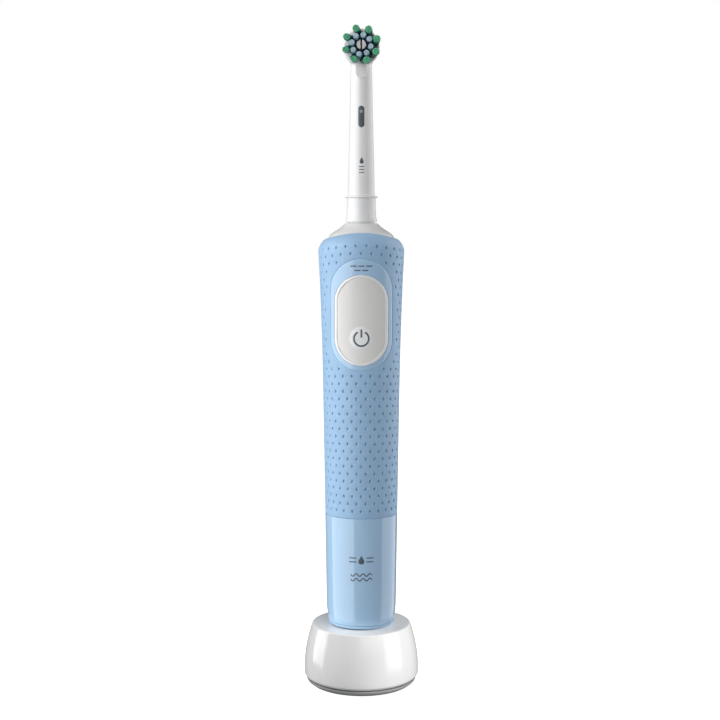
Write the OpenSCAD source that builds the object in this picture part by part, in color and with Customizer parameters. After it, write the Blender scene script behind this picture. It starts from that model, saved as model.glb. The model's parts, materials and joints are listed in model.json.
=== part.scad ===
/* [Charger] */
// Widest radius of the charger
charger_r = 22.25; // [21.5:0.05:23]
// Radius of the charger's flat top face
charger_top_r = 19; // [18.5:0.1:19.5]
// Height of the charger's top face
charger_h = 23.8; // [22:0.1:25]
// Height at which the charger is widest
belly_z = 5.5; // [5:0.1:7]
// Height of the parting line above the base plate
parting_z = 2.6; // [2.2:0.1:3]
// Wall thickness of the charger housing
charger_wall = 1.8; // [1.5:0.1:2.2]
// Radius of the charging peg
peg_r = 4.5; // [4.3:0.05:4.7]
// Height of the charging peg above the top face
peg_h = 13.5; // [12:0.1:14]
// Radius of the cord inlet
inlet_r = 1.9; // [1.5:0.05:2.1]

/* [Handle shell] */
// Height of the handle's underside on the charger
handle_z = 24.2; // [24:0.1:24.6]
// Radius of the handle at its lower end
handle_r = 13.35; // [13.2:0.05:13.6]
// Radius gained for each millimetre of height
handle_taper = 0.0148; // [0.013:0.0002:0.016]
// Height at which the handle starts to flare
flare_z = 116.7; // [112:0.1:120]
// Flare towards the shoulder
flare = 0.00034; // [0.0003:0.00001:0.00038]
// Height of the lower edge of the soft grip
grip_z = 66.8; // [64:0.1:70]
// Thickness of the soft grip
grip_t = 1.1; // [1:0.05:1.2]
// Height of the widest point of the shoulder
shoulder_z = 169.2; // [168.8:0.1:169.4]
// Height of the upper edge of the soft grip
grip_top_z = 173.2; // [173:0.1:173.6]
// Height of the top of the white collar
collar_z = 178.6; // [178.2:0.1:179]

/* [Power button] */
// Width of the button
button_w = 20; // [19.6:0.1:20.2]
// Height of the button
button_h = 34; // [33:0.1:34.4]
// Height of the button's centre
button_z = 142.4; // [142:0.1:142.8]
// Travel of the button
button_travel = 0.6; // [0.4:0.05:0.6]
// Width of the smooth panel around the button
bezel_w = 23.3; // [23:0.1:23.8]
// Height of the smooth panel around the button
bezel_h = 42.1; // [41:0.1:42.6]
// Height of the centre of the smooth panel
bezel_z = 144.4; // [144:0.1:144.8]
// Height of the power symbol's centre
symbol_z = 135.7; // [135:0.1:137]

/* [Drive] */
// Radius of the oscillating drive shaft
shaft_r = 1.9; // [1.8:0.05:1.95]
// Height of the drive shaft's tip
shaft_top_z = 199; // [197:0.5:200]
// Gear module
gear_module = 0.4; // [0.4:0.4:0.4]
// Teeth on the motor pinion
pinion_teeth = 9; // [9:1:9]
// Teeth on the crank gear
gear_teeth = 25; // [25:1:25]
// Throw of the crank pin
crank_throw = 2.1; // [1.9:0.05:2.1]
// Length of the rocker between its centres
rocker_l = 4.5; // [4.4:0.05:4.6]
// Distance of the crank gear's centre from the shaft along X and Y
crank_c = 4.5; // [4.4:0.05:4.6]
// Radius of the motor can
motor_r = 7.5; // [7:0.1:7.5]
// Radial running clearance of shafts and pins
running = 0.06; // [0.04:0.01:0.08]

/* [Brush head] */
// Radius of the neck above its flange
neck_low_r = 5.05; // [5:0.05:5.2]
// Radius of the neck below the round end
neck_top_r = 4; // [3.9:0.05:4.2]
// Radius of the flange
flange_r = 6.2; // [6:0.1:6.4]
// Height of the bristle disc's axis
disc_z = 243.7; // [242:0.1:245]
// Radius of the round end of the neck
head_r = 6.3; // [6.2:0.05:6.5]
// Radius of the bristle carrier
carrier_r = 6.8; // [6.6:0.05:6.9]
// Number of tufts in each ring
ring_tufts = 8; // [8:1:8]
// Radius of an outer tuft
outer_tuft_r = 1.1; // [0.9:0.05:1.1]
// Radius of an inner tuft
inner_tuft_r = 0.85; // [0.7:0.05:0.85]

/* [Hidden] */
$fn = 64;
blue = [0.62, 0.75, 0.89];
deep_blue = [0.52, 0.67, 0.83];
white = [0.95, 0.95, 0.95];
pale_grey = [0.8, 0.81, 0.82];
dark_grey = [0.3, 0.31, 0.33];
steel = [0.7, 0.71, 0.73];
copper = [0.75, 0.42, 0.22];
board_green = [0.12, 0.4, 0.22];

// Charger levels
seam = 0.3;
housing_low_z = parting_z + seam;
peg_top_z = charger_h + peg_h;
peg_wall = 1.2;
board_z = 4.4;
board_t = 1.6;
inlet_z = 9.5;
gland_r = 3;
gland_flange_r = 4;
gland_back_y = 18.6;
gland_front_y = 21.9;
core_r = 2.9;

// Handle levels and walls
cap_h = 1.2;
tube_z = handle_z + cap_h + 0.1;
tube_low_r = 11.65;
tube_wall = 1.3;
low_wall = 1.7;
tube_top_z = 172;
tube_mouth_r = 11.7;
lip_r = 12.75;
collar_top_r = 6;
recess_r = peg_r + 0.5;
recess_top_z = peg_top_z + 0.9;
cup_wall = 1.2;
plug_r = tube_low_r - 0.15;
plug_wall = 2;
plug_top_z = 31;
seal_z = 28.4;
seal_wire_r = 0.7;
bobbin_low_z = 31.6;
bobbin_top_z = 38.8;
bobbin_t = 0.7;
cell_r = 7.1;
cell_y = 1.5;
cell_low_z = 46;
cell_h = 49.5;
chassis_r = 10.8;
plate_low_z = 42;
tab_w = 2.4;
tab_t = 0.3;
tab_x = 0.6;
tab_y = -6.19;
tab_top_z = 102.7;

// Drive levels
motor_low_z = 103;
motor_h = 25;
motor_top_z = motor_low_z + motor_h;
motor_wall = 0.6;
motor_shaft_r = 0.75;
frame_z = 128.8;
frame_t = 1.6;
frame_r = 10.9;
gear_low_z = 131.2;
gear_h = 2.6;
gear_top_z = gear_low_z + gear_h;
pin_r = 0.9;
link_gap = 0.15;
link_z = 136.35;
link_t = 1.4;
rocker_z = 138;
rocker_t = 2;
screw_r = 0.8;
screw_pitch_r = 5;
bush_r = 3;
tower_r = 4.6;
bush_z = 141;
bush_h = 5;
tower_top_z = 161;
sleeve_r = 3;
sleeve_low_z = 171.2;
sleeve_top_z = 187;
pinion_pitch_r = gear_module * pinion_teeth / 2;
gear_pitch_r = gear_module * gear_teeth / 2;
centre_distance = pinion_pitch_r + gear_pitch_r;
motor_angle = 201.6;
motor_x = crank_c + centre_distance * cos(motor_angle);
motor_y = crank_c + centre_distance * sin(motor_angle);
crank_angle = -asin(crank_throw / (2 * rocker_l));
crank_x = crank_c + crank_throw * cos(crank_angle);
crank_y = crank_c + crank_throw * sin(crank_angle);
link_angle = atan2(crank_y, crank_x - rocker_l);

// Board behind the button
main_board_y = -7.2;
main_board_t = 1;
main_board_w = 15;
main_board_low_z = 100.5;
main_board_top_z = 160;
rail_x = main_board_w / 2 + 0.1;
rail_w = 1.2;
switch_z = symbol_z;
switch_tip_y = -9.7;

// Brush head levels
head_z = collar_z + 0.5;
base_step_z = 180.4;
flange_z = 188.2;
flange_t = 0.6;
neck_top_z = 238;
head_front_y = -4.2;
head_back_y = 3.4;
pocket_r = 5.5;
pocket_back_y = -1.6;
rod_cavity_r = 2.3;
socket_r = 3.1;
socket_top_z = 200.5;
carrier_back_y = -4.5;
carrier_front_y = -6.7;
disc_pin_r = 0.9;
crank_arm = 3.4;
fork_drop = 4.3;
ball_r = 0.8;
tuft_tip_y = -14.5;

// Outer radius of the handle at height z
function outer_r(z) =
  handle_r + handle_taper * (z - handle_z) + flare * pow(max(0, z - flare_z), 2);

// Charger radius at height z, a parabola above and below the belly
function charger_radius(z) =
  z > belly_z
    ? charger_r - (charger_r - charger_top_r) * pow((z - belly_z) / (charger_h - belly_z), 2)
    : charger_r - 0.4 * pow((belly_z - z) / (belly_z - parting_z), 2);

// Rounded shoulder between the widest point and a lip, t from 0 to 90
function shoulder(t, wide_r, low_z, top_r, top_z) =
  [top_r + (wide_r - top_r) * cos(t), low_z + (top_z - low_z) * sin(t)];

// A shell that follows the handle's surface between two offsets from it
module skin(from_offset, to_offset, low_z, high_z, steps = 12)
{
  step = (high_z - low_z) / steps;
  rotate_extrude()
    polygon(concat(
      [for (i = [0 : steps]) [outer_r(low_z + i * step) + from_offset, low_z + i * step]],
      [for (i = [steps : -1 : 0]) [outer_r(low_z + i * step) + to_offset, low_z + i * step]]
    ));
}

// An upright rounded slot, w wide and h high, centred at height z, cut through the front
module front_slot(w, h, z)
{
  translate([0, 0, z])
    rotate([90, 0, 0])
      linear_extrude(30)
        union()
        {
          square([w, h - w], center = true);
          translate([0, (h - w) / 2]) circle(d = w);
          translate([0, -(h - w) / 2]) circle(d = w);
        }
}

// A ring of rectangular section
module ring(r_out, r_in, low_z, high_z)
{
  translate([0, 0, low_z])
    difference()
    {
      cylinder(r = r_out, h = high_z - low_z);
      translate([0, 0, -1]) cylinder(r = r_in, h = high_z - low_z + 2);
    }
}

// One gear tooth's outline points, centred on angle a
function tooth(a, root, tip, root_w, tip_w) = [
  [root * cos(a - root_w / 2), root * sin(a - root_w / 2)],
  [tip * cos(a - tip_w / 2), tip * sin(a - tip_w / 2)],
  [tip * cos(a + tip_w / 2), tip * sin(a + tip_w / 2)],
  [root * cos(a + root_w / 2), root * sin(a + root_w / 2)]
];

// A spur gear outline with straight-sided teeth
module gear_outline(teeth, pitch_r, first_angle)
{
  pitch = 360 / teeth;
  root = pitch_r - 1.15 * gear_module;
  tip = pitch_r + 0.85 * gear_module;
  polygon([for (i = [0 : teeth - 1])
    each tooth(first_angle + i * pitch, root, tip, 0.62 * pitch, 0.22 * pitch)]);
}

module charger_housing()
{
  steps = 10;
  rise = charger_h - belly_z;
  inner_low = 20.1;
  color(white)
    difference()
    {
      rotate_extrude()
        polygon(concat(
          [[inner_low, housing_low_z], [charger_radius(housing_low_z) - 0.4, housing_low_z]],
          [[charger_radius(housing_low_z + 0.6), housing_low_z + 0.6]],
          [for (i = [0 : steps]) [charger_radius(belly_z + i * rise / steps) - (i == steps ? 0.5 : 0),
            belly_z + i * rise / steps]],
          [[peg_r + 0.8, charger_h], [peg_r, charger_h + 0.8], [peg_r, peg_top_z - 1.4]],
          [for (t = [30 : 30 : 90]) [peg_r - 1.4 + 1.4 * cos(t), peg_top_z - 1.4 + 1.4 * sin(t)]],
          [[0, peg_top_z], [0, peg_top_z - peg_wall], [peg_r - peg_wall, peg_top_z - peg_wall]],
          [[peg_r - peg_wall, charger_h - charger_wall]],
          [for (i = [steps - 1 : -1 : 1]) [charger_radius(belly_z + i * rise / steps) - charger_wall,
            belly_z + i * (rise - charger_wall) / steps]],
          [[inner_low, belly_z]]
        ));
      translate([0, 0, inlet_z])
        rotate([-90, 0, 0])
          cylinder(r = gland_r, h = 30);
    }
}

module charger_base_plate()
{
  rim_r = 19.9;
  rim_top_z = 4;
  floor_t = 1.6;
  color(pale_grey)
    union()
    {
      rotate_extrude()
        polygon([
          [0, 0], [17.6, 0], [19.8, 0.7], [21, 1.7], [21.5, parting_z], [rim_r, parting_z],
          [rim_r, rim_top_z], [rim_r - 1.2, rim_top_z], [rim_r - 1.2, floor_t], [0, floor_t]
        ]);
      for (a = [30, 150, 270])
        rotate(a)
          translate([14, 0, floor_t])
            cylinder(r = 1.6, h = board_z - floor_t);
    }
}

module charger_core()
{
  color(dark_grey)
    translate([0, 0, 8])
      cylinder(r = core_r, h = peg_top_z - peg_wall - 0.6 - 8);
}

module charger_bobbin()
{
  color(white)
    union()
    {
      ring(3.7, core_r + 0.1, 7.6, 20.4);
      ring(9, 3.7, 7.6, 8.6);
      ring(9, 3.7, 19.4, 20.4);
    }
}

module charger_coil()
{
  color(copper)
    ring(8.3, 3.75, 8.7, 19.3);
}

module charger_board()
{
  color(board_green)
    translate([0, 0, board_z])
      cylinder(r = 17.6, h = board_t);
}

module charger_capacitor()
{
  color(dark_grey)
    translate([-13, 2, board_z + board_t])
      cylinder(r = 3, h = 9);
}

module charger_board_parts()
{
  top_z = board_z + board_t;
  color(dark_grey)
    union()
    {
      translate([10.5, 4, top_z]) cube([2, 4.5, 5]);
      translate([11, -3.5, top_z]) cube([3.5, 2, 1.4]);
      translate([10, -8, top_z]) cube([3.5, 2, 1.4]);
      translate([-3, -13.5, top_z]) cube([6, 4, 3]);
      translate([-11.5, -9, top_z]) cylinder(r = 1.6, h = 3.5);
    }
}

module cord_gland()
{
  color(white)
    translate([0, gland_back_y, inlet_z])
      rotate([-90, 0, 0])
        difference()
        {
          union()
          {
            cylinder(r = gland_r, h = gland_front_y - gland_back_y);
            cylinder(r = gland_flange_r, h = 0.7);
          }
          translate([0, 0, -1]) cylinder(r = inlet_r, h = 6);
        }
}

module housing_tube()
{
  steps = 6;
  low_step = (grip_z - 0.1 - tube_z) / steps;
  up_step = (shoulder_z - grip_z) / (2 * steps);
  color(blue)
    difference()
    {
      rotate_extrude()
        polygon(concat(
          [for (i = [0 : steps]) [outer_r(tube_z + i * low_step), tube_z + i * low_step]],
          [for (i = [0 : 2 * steps]) [outer_r(grip_z + i * up_step) - grip_t, grip_z + i * up_step]],
          [for (t = [30, 60, 90])
            shoulder(t, outer_r(shoulder_z) - grip_t, shoulder_z, lip_r, tube_top_z)],
          [[tube_mouth_r, tube_top_z], [tube_mouth_r, tube_top_z - 1]],
          [for (i = [2 * steps : -1 : 0])
            [outer_r(grip_z + i * up_step) - grip_t - tube_wall, grip_z + i * (up_step - 0.1)]],
          [[outer_r(grip_z) - low_wall, grip_z - 1.2], [outer_r(44) - low_wall, 44]],
          [[tube_low_r, 41], [tube_low_r, tube_z]]
        ));
      front_slot(button_w + 0.4, button_h + 0.4, button_z);
    }
}

module soft_grip()
{
  steps = 12;
  up_step = (shoulder_z - grip_z) / steps;
  wide_r = outer_r(shoulder_z);
  color(deep_blue)
    difference()
    {
      rotate_extrude()
        polygon(concat(
          [for (i = [0 : steps]) [outer_r(grip_z + i * up_step), grip_z + i * up_step]],
          [for (t = [15 : 15 : 90]) shoulder(t, wide_r, shoulder_z, lip_r, grip_top_z)],
          [for (t = [90, 60, 30]) shoulder(t, wide_r - grip_t, shoulder_z, lip_r, tube_top_z)],
          [for (i = [steps : -1 : 0])
            [outer_r(grip_z + i * up_step) - grip_t, grip_z + i * up_step]]
        ));
      front_slot(bezel_w + 0.1, bezel_h + 0.1, bezel_z);
    }
}

module top_collar()
{
  skirt_r = tube_mouth_r - 0.1;
  skirt_wall = 1.4;
  skirt_z = 166;
  boss_r = 6.4;
  seat_z = sleeve_low_z + 1.2;
  seal_r = 5;
  color(white)
    rotate_extrude()
      polygon([
        [skirt_r, skirt_z], [skirt_r, tube_top_z + 0.05], [lip_r - 0.15, tube_top_z + 0.05],
        [lip_r - 0.15, grip_top_z + 0.2], [12.4, 174.2], [11.2, 175.4], [8.7, 176.8],
        [collar_top_r + 0.4, collar_z - 0.2], [collar_top_r, collar_z], [sleeve_r, collar_z],
        [sleeve_r, seat_z], [seal_r, seat_z], [seal_r, skirt_z + 1], [boss_r, skirt_z + 1],
        [boss_r, 174.2], [8.6, 174.2], [skirt_r - skirt_wall, 172.6],
        [skirt_r - skirt_wall, skirt_z]
      ]);
}

module button_bezel()
{
  color(blue)
    difference()
    {
      intersection()
      {
        skin(0.02 - grip_t, 0.15, bezel_z - bezel_h / 2 - 1, bezel_z + bezel_h / 2 + 1);
        front_slot(bezel_w, bezel_h, bezel_z);
      }
      front_slot(button_w + 0.4, button_h + 0.4, button_z);
    }
}

module button_seal()
{
  depth = grip_t + tube_wall + 0.1;
  color(dark_grey)
    difference()
    {
      intersection()
      {
        skin(-depth - 0.8, -depth, button_z - button_h / 2 - 2, button_z + button_h / 2 + 2);
        front_slot(button_w + 2, button_h + 3, button_z);
      }
      translate([0, 0, switch_z])
        rotate([90, 0, 0])
          cylinder(r = 1.8, h = 30);
    }
}

module bottom_cap()
{
  groove_r = plug_r - 1.35;
  edge_r = 1;
  color(blue)
    rotate_extrude()
      polygon(concat(
        [[recess_r + 0.5, handle_z], [handle_r - edge_r, handle_z]],
        [for (t = [-60 : 30 : 0])
          [handle_r - edge_r + edge_r * cos(t), handle_z + edge_r + edge_r * sin(t)]],
        [[handle_r, handle_z + cap_h], [plug_r, handle_z + cap_h], [plug_r, seal_z - 0.75]],
        [[groove_r, seal_z - 0.75], [groove_r, seal_z + 0.75], [plug_r, seal_z + 0.75]],
        [[plug_r, plug_top_z], [plug_r - plug_wall, plug_top_z]],
        [[plug_r - plug_wall, handle_z + cap_h + 0.6], [recess_r + cup_wall, handle_z + cap_h + 0.6]],
        [[recess_r + cup_wall, recess_top_z + cup_wall], [0, recess_top_z + cup_wall]],
        [[0, recess_top_z], [recess_r, recess_top_z], [recess_r, handle_z + 0.5]]
      ));
}

module bottom_seal_ring()
{
  color(dark_grey)
    rotate_extrude()
      translate([tube_low_r - seal_wire_r - 0.01, seal_z])
        circle(r = seal_wire_r, $fn = 32);
}

module charging_bobbin()
{
  bore_r = recess_r + cup_wall + 0.1;
  color(white)
    union()
    {
      ring(bore_r + bobbin_t, bore_r, bobbin_low_z, bobbin_top_z);
      ring(9.6, bore_r + bobbin_t, bobbin_low_z, bobbin_low_z + bobbin_t);
      ring(9.6, bore_r + bobbin_t, bobbin_top_z - bobbin_t, bobbin_top_z);
    }
}

module charging_coil()
{
  inner = recess_r + cup_wall + 0.1 + bobbin_t + 0.05;
  color(copper)
    ring(9.1, inner, bobbin_low_z + bobbin_t + 0.1, bobbin_top_z - bobbin_t - 0.1);
}

// An open half tube on the rear side of a vertical axis
module cradle(x, y, r_in, r_out, low_z, high_z)
{
  translate([x, y, low_z])
    difference()
    {
      cylinder(r = r_out, h = high_z - low_z);
      translate([0, 0, -1]) cylinder(r = r_in, h = high_z - low_z + 2);
      translate([-20, -40, -1]) cube([40, 40, high_z - low_z + 2]);
    }
}

// A pair of upright rails with a slot that holds the board's edges
module rails(low_z, high_z)
{
  for (side = [-1, 1])
    translate([side * (rail_x + rail_w / 2), main_board_y + 0.6, (low_z + high_z) / 2])
      cube([rail_w, 2, high_z - low_z], center = true);
}

module chassis()
{
  web_z = 97.6;
  color(pale_grey)
    union()
    {
      translate([0, 0, plate_low_z]) cylinder(r = chassis_r, h = 1.6);
      cradle(0, cell_y, cell_r + 0.2, cell_r + 1.4, plate_low_z, web_z + 1.6);
      difference()
      {
        translate([0, 0, web_z]) cylinder(r = chassis_r, h = 1.6);
        translate([0, cell_y, web_z - 1]) cylinder(r = 5, h = 4);
        translate([-tab_x - tab_w - 0.3, tab_y - 0.2, web_z - 1])
          cube([2 * (tab_x + tab_w + 0.3), tab_t + 0.4, 4]);
      }
      cradle(motor_x, motor_y, motor_r + 0.15, motor_r + 1.25, web_z, motor_top_z);
      rails(web_z, motor_top_z);
    }
}

module battery_cell()
{
  color([0.2, 0.45, 0.3])
    translate([0, cell_y, cell_low_z])
      union()
      {
        cylinder(r = cell_r, h = cell_h);
        translate([0, 0, cell_h]) cylinder(r = 2.6, h = 1);
      }
}

module battery_plus_tab()
{
  top_z = cell_low_z + cell_h + 1;
  color(steel)
    union()
    {
      translate([-tab_x - tab_w, tab_y, top_z]) cube([tab_w, cell_y - tab_y + 1, tab_t]);
      translate([-tab_x - tab_w, tab_y, top_z]) cube([tab_w, tab_t, tab_top_z - top_z]);
    }
}

module battery_minus_tab()
{
  low_z = cell_low_z - tab_t;
  color(steel)
    union()
    {
      translate([tab_x, tab_y, low_z]) cube([tab_w, cell_y - tab_y + 2, tab_t]);
      translate([tab_x, tab_y, low_z]) cube([tab_w, tab_t, tab_top_z - low_z]);
    }
}

module main_board()
{
  color(board_green)
    translate([-main_board_w / 2, main_board_y, main_board_low_z])
      cube([main_board_w, main_board_t, main_board_top_z - main_board_low_z]);
}

module button_switch()
{
  body_w = 5.2;
  body_t = 1.7;
  color(steel)
    union()
    {
      translate([-body_w / 2, main_board_y - body_t, switch_z - body_w / 2])
        cube([body_w, body_t, body_w]);
      translate([0, main_board_y - body_t, switch_z])
        rotate([90, 0, 0])
          cylinder(r = 1.3, h = main_board_y - body_t - switch_tip_y);
    }
}

module board_chips()
{
  color(dark_grey)
    union()
    {
      translate([-3, main_board_y - 1.1, 148]) cube([6, 1.1, 5]);
      translate([-5, main_board_y - 1, 118]) cube([4, 1, 4]);
      translate([1.5, main_board_y - 0.8, 112]) cube([3, 0.8, 1.6]);
      translate([1.5, main_board_y - 0.8, 123]) cube([1.6, 0.8, 3]);
      translate([-4.5, main_board_y - 1.2, 106]) cube([3.4, 1.2, 2.2]);
    }
}

module motor_can()
{
  color(steel)
    translate([motor_x, motor_y, motor_low_z])
      difference()
      {
        union()
        {
          cylinder(r = motor_r, h = motor_h);
          translate([0, 0, motor_h]) cylinder(r = 3, h = 1.4);
        }
        translate([0, 0, -1]) cylinder(r = motor_r - motor_wall, h = motor_h - motor_wall + 1);
        cylinder(r = motor_shaft_r + running, h = motor_h + 3);
      }
}

module motor_magnets()
{
  magnet_t = 1.5;
  outer = motor_r - motor_wall;
  color(dark_grey)
    translate([motor_x, motor_y, motor_low_z + 5])
      difference()
      {
        cylinder(r = outer, h = 15);
        translate([0, 0, -1]) cylinder(r = outer - magnet_t, h = 17);
        translate([-1.5, -10, -1]) cube([3, 20, 17]);
      }
}

module motor_end_cap()
{
  color(white)
    translate([motor_x, motor_y, motor_low_z - 1.2])
      difference()
      {
        union()
        {
          cylinder(r = motor_r, h = 1.2);
          cylinder(r = motor_r - motor_wall, h = 2.4);
        }
        translate([0, 0, -1]) cylinder(r = motor_shaft_r + running, h = 5);
      }
}

module gearbox_frame()
{
  deck_z = 141;
  deck_t = 1.6;
  pillar_h = deck_z - frame_z;
  color(pale_grey)
    difference()
    {
      union()
      {
        translate([0, 0, frame_z]) cylinder(r = frame_r, h = frame_t);
        translate([0, 0, deck_z]) cylinder(r = frame_r, h = deck_t);
        translate([0, 0, deck_z]) cylinder(r = tower_r, h = tower_top_z - deck_z);
        translate([-7, 6.6, frame_z]) cylinder(r = 1.3, h = pillar_h + 1);
        rails(frame_z, main_board_top_z);
      }
      translate([0, 0, deck_z - 1]) cylinder(r = bush_r, h = tower_top_z - deck_z + 2);
      translate([motor_x, motor_y, frame_z - 1]) cylinder(r = 3.2, h = 4);
      translate([crank_c, crank_c, frame_z - 1]) cylinder(r = 1, h = 4);
      translate([-frame_r, -20, frame_z - 1]) cube([2 * frame_r, 20 - 7.9, 60]);
      translate([-rail_x, -20, frame_z - 1]) cube([2 * rail_x, 20 + tab_y + 0.09, 60]);
      for (side = [-1, 1])
        translate([motor_x, motor_y, frame_z - 1])
          rotate(motor_angle + side * 90)
            translate([screw_pitch_r, 0, 0])
              cylinder(r = screw_r, h = 4);
    }
}

module frame_screws()
{
  shank_h = frame_z + frame_t - motor_top_z;
  color(steel)
    for (side = [-1, 1])
      translate([motor_x, motor_y, motor_top_z])
        rotate(motor_angle + side * 90)
          translate([screw_pitch_r, 0, 0])
            union()
            {
              cylinder(r = screw_r, h = shank_h);
              translate([0, 0, shank_h]) cylinder(r = 1.2, h = 0.7);
            }
}

module gear_axle()
{
  color(steel)
    translate([crank_c, crank_c, frame_z])
      cylinder(r = 1, h = gear_top_z + 0.5 - frame_z);
}

module shaft_bush(low_z, flange_low_z)
{
  color([0.72, 0.55, 0.3])
    difference()
    {
      union()
      {
        translate([0, 0, low_z]) cylinder(r = bush_r, h = bush_h);
        translate([0, 0, flange_low_z]) cylinder(r = bush_r + 0.8, h = 0.8);
      }
      translate([0, 0, low_z - 2]) cylinder(r = shaft_r + running, h = bush_h + 4);
    }
}

module lower_shaft_bush()
{
  shaft_bush(bush_z, bush_z - 0.8);
}

module upper_shaft_bush()
{
  shaft_bush(tower_top_z - bush_h, tower_top_z);
}

module shaft_seal()
{
  color(dark_grey)
    ring(4.9, shaft_r + running, 168.2, sleeve_low_z);
}

module shaft_sleeve()
{
  color(steel)
    difference()
    {
      union()
      {
        translate([0, 0, sleeve_low_z]) cylinder(r = sleeve_r, h = sleeve_top_z - sleeve_low_z);
        translate([0, 0, sleeve_low_z]) cylinder(r = 4.8, h = 1.2);
      }
      translate([0, 0, sleeve_low_z - 1]) cylinder(r = shaft_r + running, h = 20);
    }
}

module rotor_core()
{
  slot_w = 1.4;
  color(copper)
    translate([motor_x, motor_y, motor_low_z + 6.5])
      difference()
      {
        cylinder(r = 5, h = 12);
        translate([0, 0, -1]) cylinder(r = motor_shaft_r, h = 14);
        for (a = [0, 120, 240])
          rotate(a)
            translate([2.6, -slot_w / 2, -1])
              cube([4, slot_w, 14]);
      }
}

module commutator()
{
  color(copper)
    translate([motor_x, motor_y, 0])
      ring(1.9, motor_shaft_r, motor_low_z + 2, motor_low_z + 6.3);
}

module motor_shaft()
{
  color(steel)
    translate([motor_x, motor_y, motor_low_z - 1.1])
      cylinder(r = motor_shaft_r, h = gear_top_z + 0.6 - motor_low_z + 1.1);
}

module pinion_gear()
{
  color(white)
    translate([motor_x, motor_y, gear_low_z - 0.4])
      difference()
      {
        linear_extrude(gear_h + 0.7)
          gear_outline(pinion_teeth, pinion_pitch_r, motor_angle - 180);
        translate([0, 0, -1]) cylinder(r = motor_shaft_r, h = gear_h + 3);
      }
}

module crank_gear()
{
  color(white)
    translate([crank_c, crank_c, 0])
      difference()
      {
        union()
        {
          translate([0, 0, gear_low_z])
            linear_extrude(gear_h)
              gear_outline(gear_teeth, gear_pitch_r, motor_angle + 180 / gear_teeth);
          translate([0, 0, frame_z + frame_t + 0.1])
            cylinder(r = 2.4, h = gear_low_z - frame_z - frame_t);
        }
        translate([0, 0, frame_z]) cylinder(r = 1 + running, h = 10);
        translate([crank_x - crank_c, crank_y - crank_c, gear_top_z - 2])
          cylinder(r = pin_r, h = 4);
      }
}

module crank_pin()
{
  color(steel)
    translate([crank_x, crank_y, gear_top_z - 2])
      cylinder(r = pin_r, h = link_z - link_gap - gear_top_z + 2);
}

module coupler_link()
{
  eye_r = 1.7;
  link_l = sqrt(pow(crank_x - rocker_l, 2) + pow(crank_y, 2));
  color(steel)
    translate([rocker_l, 0, link_z])
      rotate(link_angle)
        difference()
        {
          union()
          {
            cylinder(r = eye_r, h = link_t);
            translate([link_l, 0, 0]) cylinder(r = eye_r, h = link_t);
            translate([0, -1.1, 0]) cube([link_l, 2.2, link_t]);
          }
          translate([0, 0, -1]) cylinder(r = pin_r + running, h = link_t + 2);
          translate([link_l, 0, -1]) cylinder(r = pin_r + running, h = link_t + 2);
        }
}

module drive_shaft()
{
  flat_depth = 0.5;
  flat_l = 10;
  color(steel)
    difference()
    {
      translate([0, 0, rocker_z]) cylinder(r = shaft_r, h = shaft_top_z - rocker_z);
      translate([-3, shaft_r - flat_depth, shaft_top_z - flat_l]) cube([6, 3, flat_l + 1]);
    }
}

module rocker_arm()
{
  color(pale_grey)
    translate([0, 0, rocker_z])
      difference()
      {
        union()
        {
          cylinder(r = 3.2, h = rocker_t);
          translate([0, -1.6, 0]) cube([rocker_l, 3.2, rocker_t]);
          translate([rocker_l, 0, 0]) cylinder(r = 2, h = rocker_t);
        }
        translate([0, 0, -1]) cylinder(r = shaft_r, h = rocker_t + 2);
        translate([rocker_l, 0, -1]) cylinder(r = pin_r, h = rocker_t + 2);
      }
}

module rocker_pin()
{
  color(steel)
    translate([rocker_l, 0, link_z])
      cylinder(r = pin_r, h = rocker_z + rocker_t - link_z);
}

module power_button()
{
  color(white)
    union()
    {
      difference()
      {
        intersection()
        {
          skin(-1.5, 0.25, button_z - button_h / 2 - 1, button_z + button_h / 2 + 1);
          front_slot(button_w, button_h, button_z);
        }
        intersection()
        {
          skin(-0.7, 1, button_z - button_h / 2, button_z + button_h / 2);
          front_slot(button_w - 1.8, button_h - 1.8, button_z);
        }
      }
      translate([0, -outer_r(switch_z) + 1.2, switch_z])
        rotate([-90, 0, 0])
          cylinder(r = 1.4, h = outer_r(switch_z) - 1.2 + switch_tip_y - button_travel - 0.05);
    }
}

// The outline of the power symbol, a broken ring with a bar in its gap
module symbol_outline()
{
  arc_r = 2.9;
  line = 0.55;
  bar_l = 3;
  union()
  {
    difference()
    {
      circle(r = arc_r + line / 2);
      circle(r = arc_r - line / 2);
      translate([-1.4, 0]) square([2.8, arc_r + 1]);
    }
    translate([-line / 2, 0.7]) square([line, bar_l]);
  }
}

module symbol_prism()
{
  translate([0, 0, symbol_z])
    rotate([90, 0, 0])
      linear_extrude(30)
        symbol_outline();
}

module button_pad()
{
  color(pale_grey)
    difference()
    {
      intersection()
      {
        skin(-0.7, 0.1, button_z - button_h / 2, button_z + button_h / 2);
        front_slot(button_w - 1.8, button_h - 1.8, button_z);
      }
      difference()
      {
        symbol_prism();
        skin(-5, -0.2, symbol_z - 6, symbol_z + 6, 2);
      }
    }
}

module power_symbol()
{
  color(dark_grey)
    intersection()
    {
      skin(-0.2, 0.1, symbol_z - 6, symbol_z + 6, 2);
      symbol_prism();
    }
}

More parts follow.
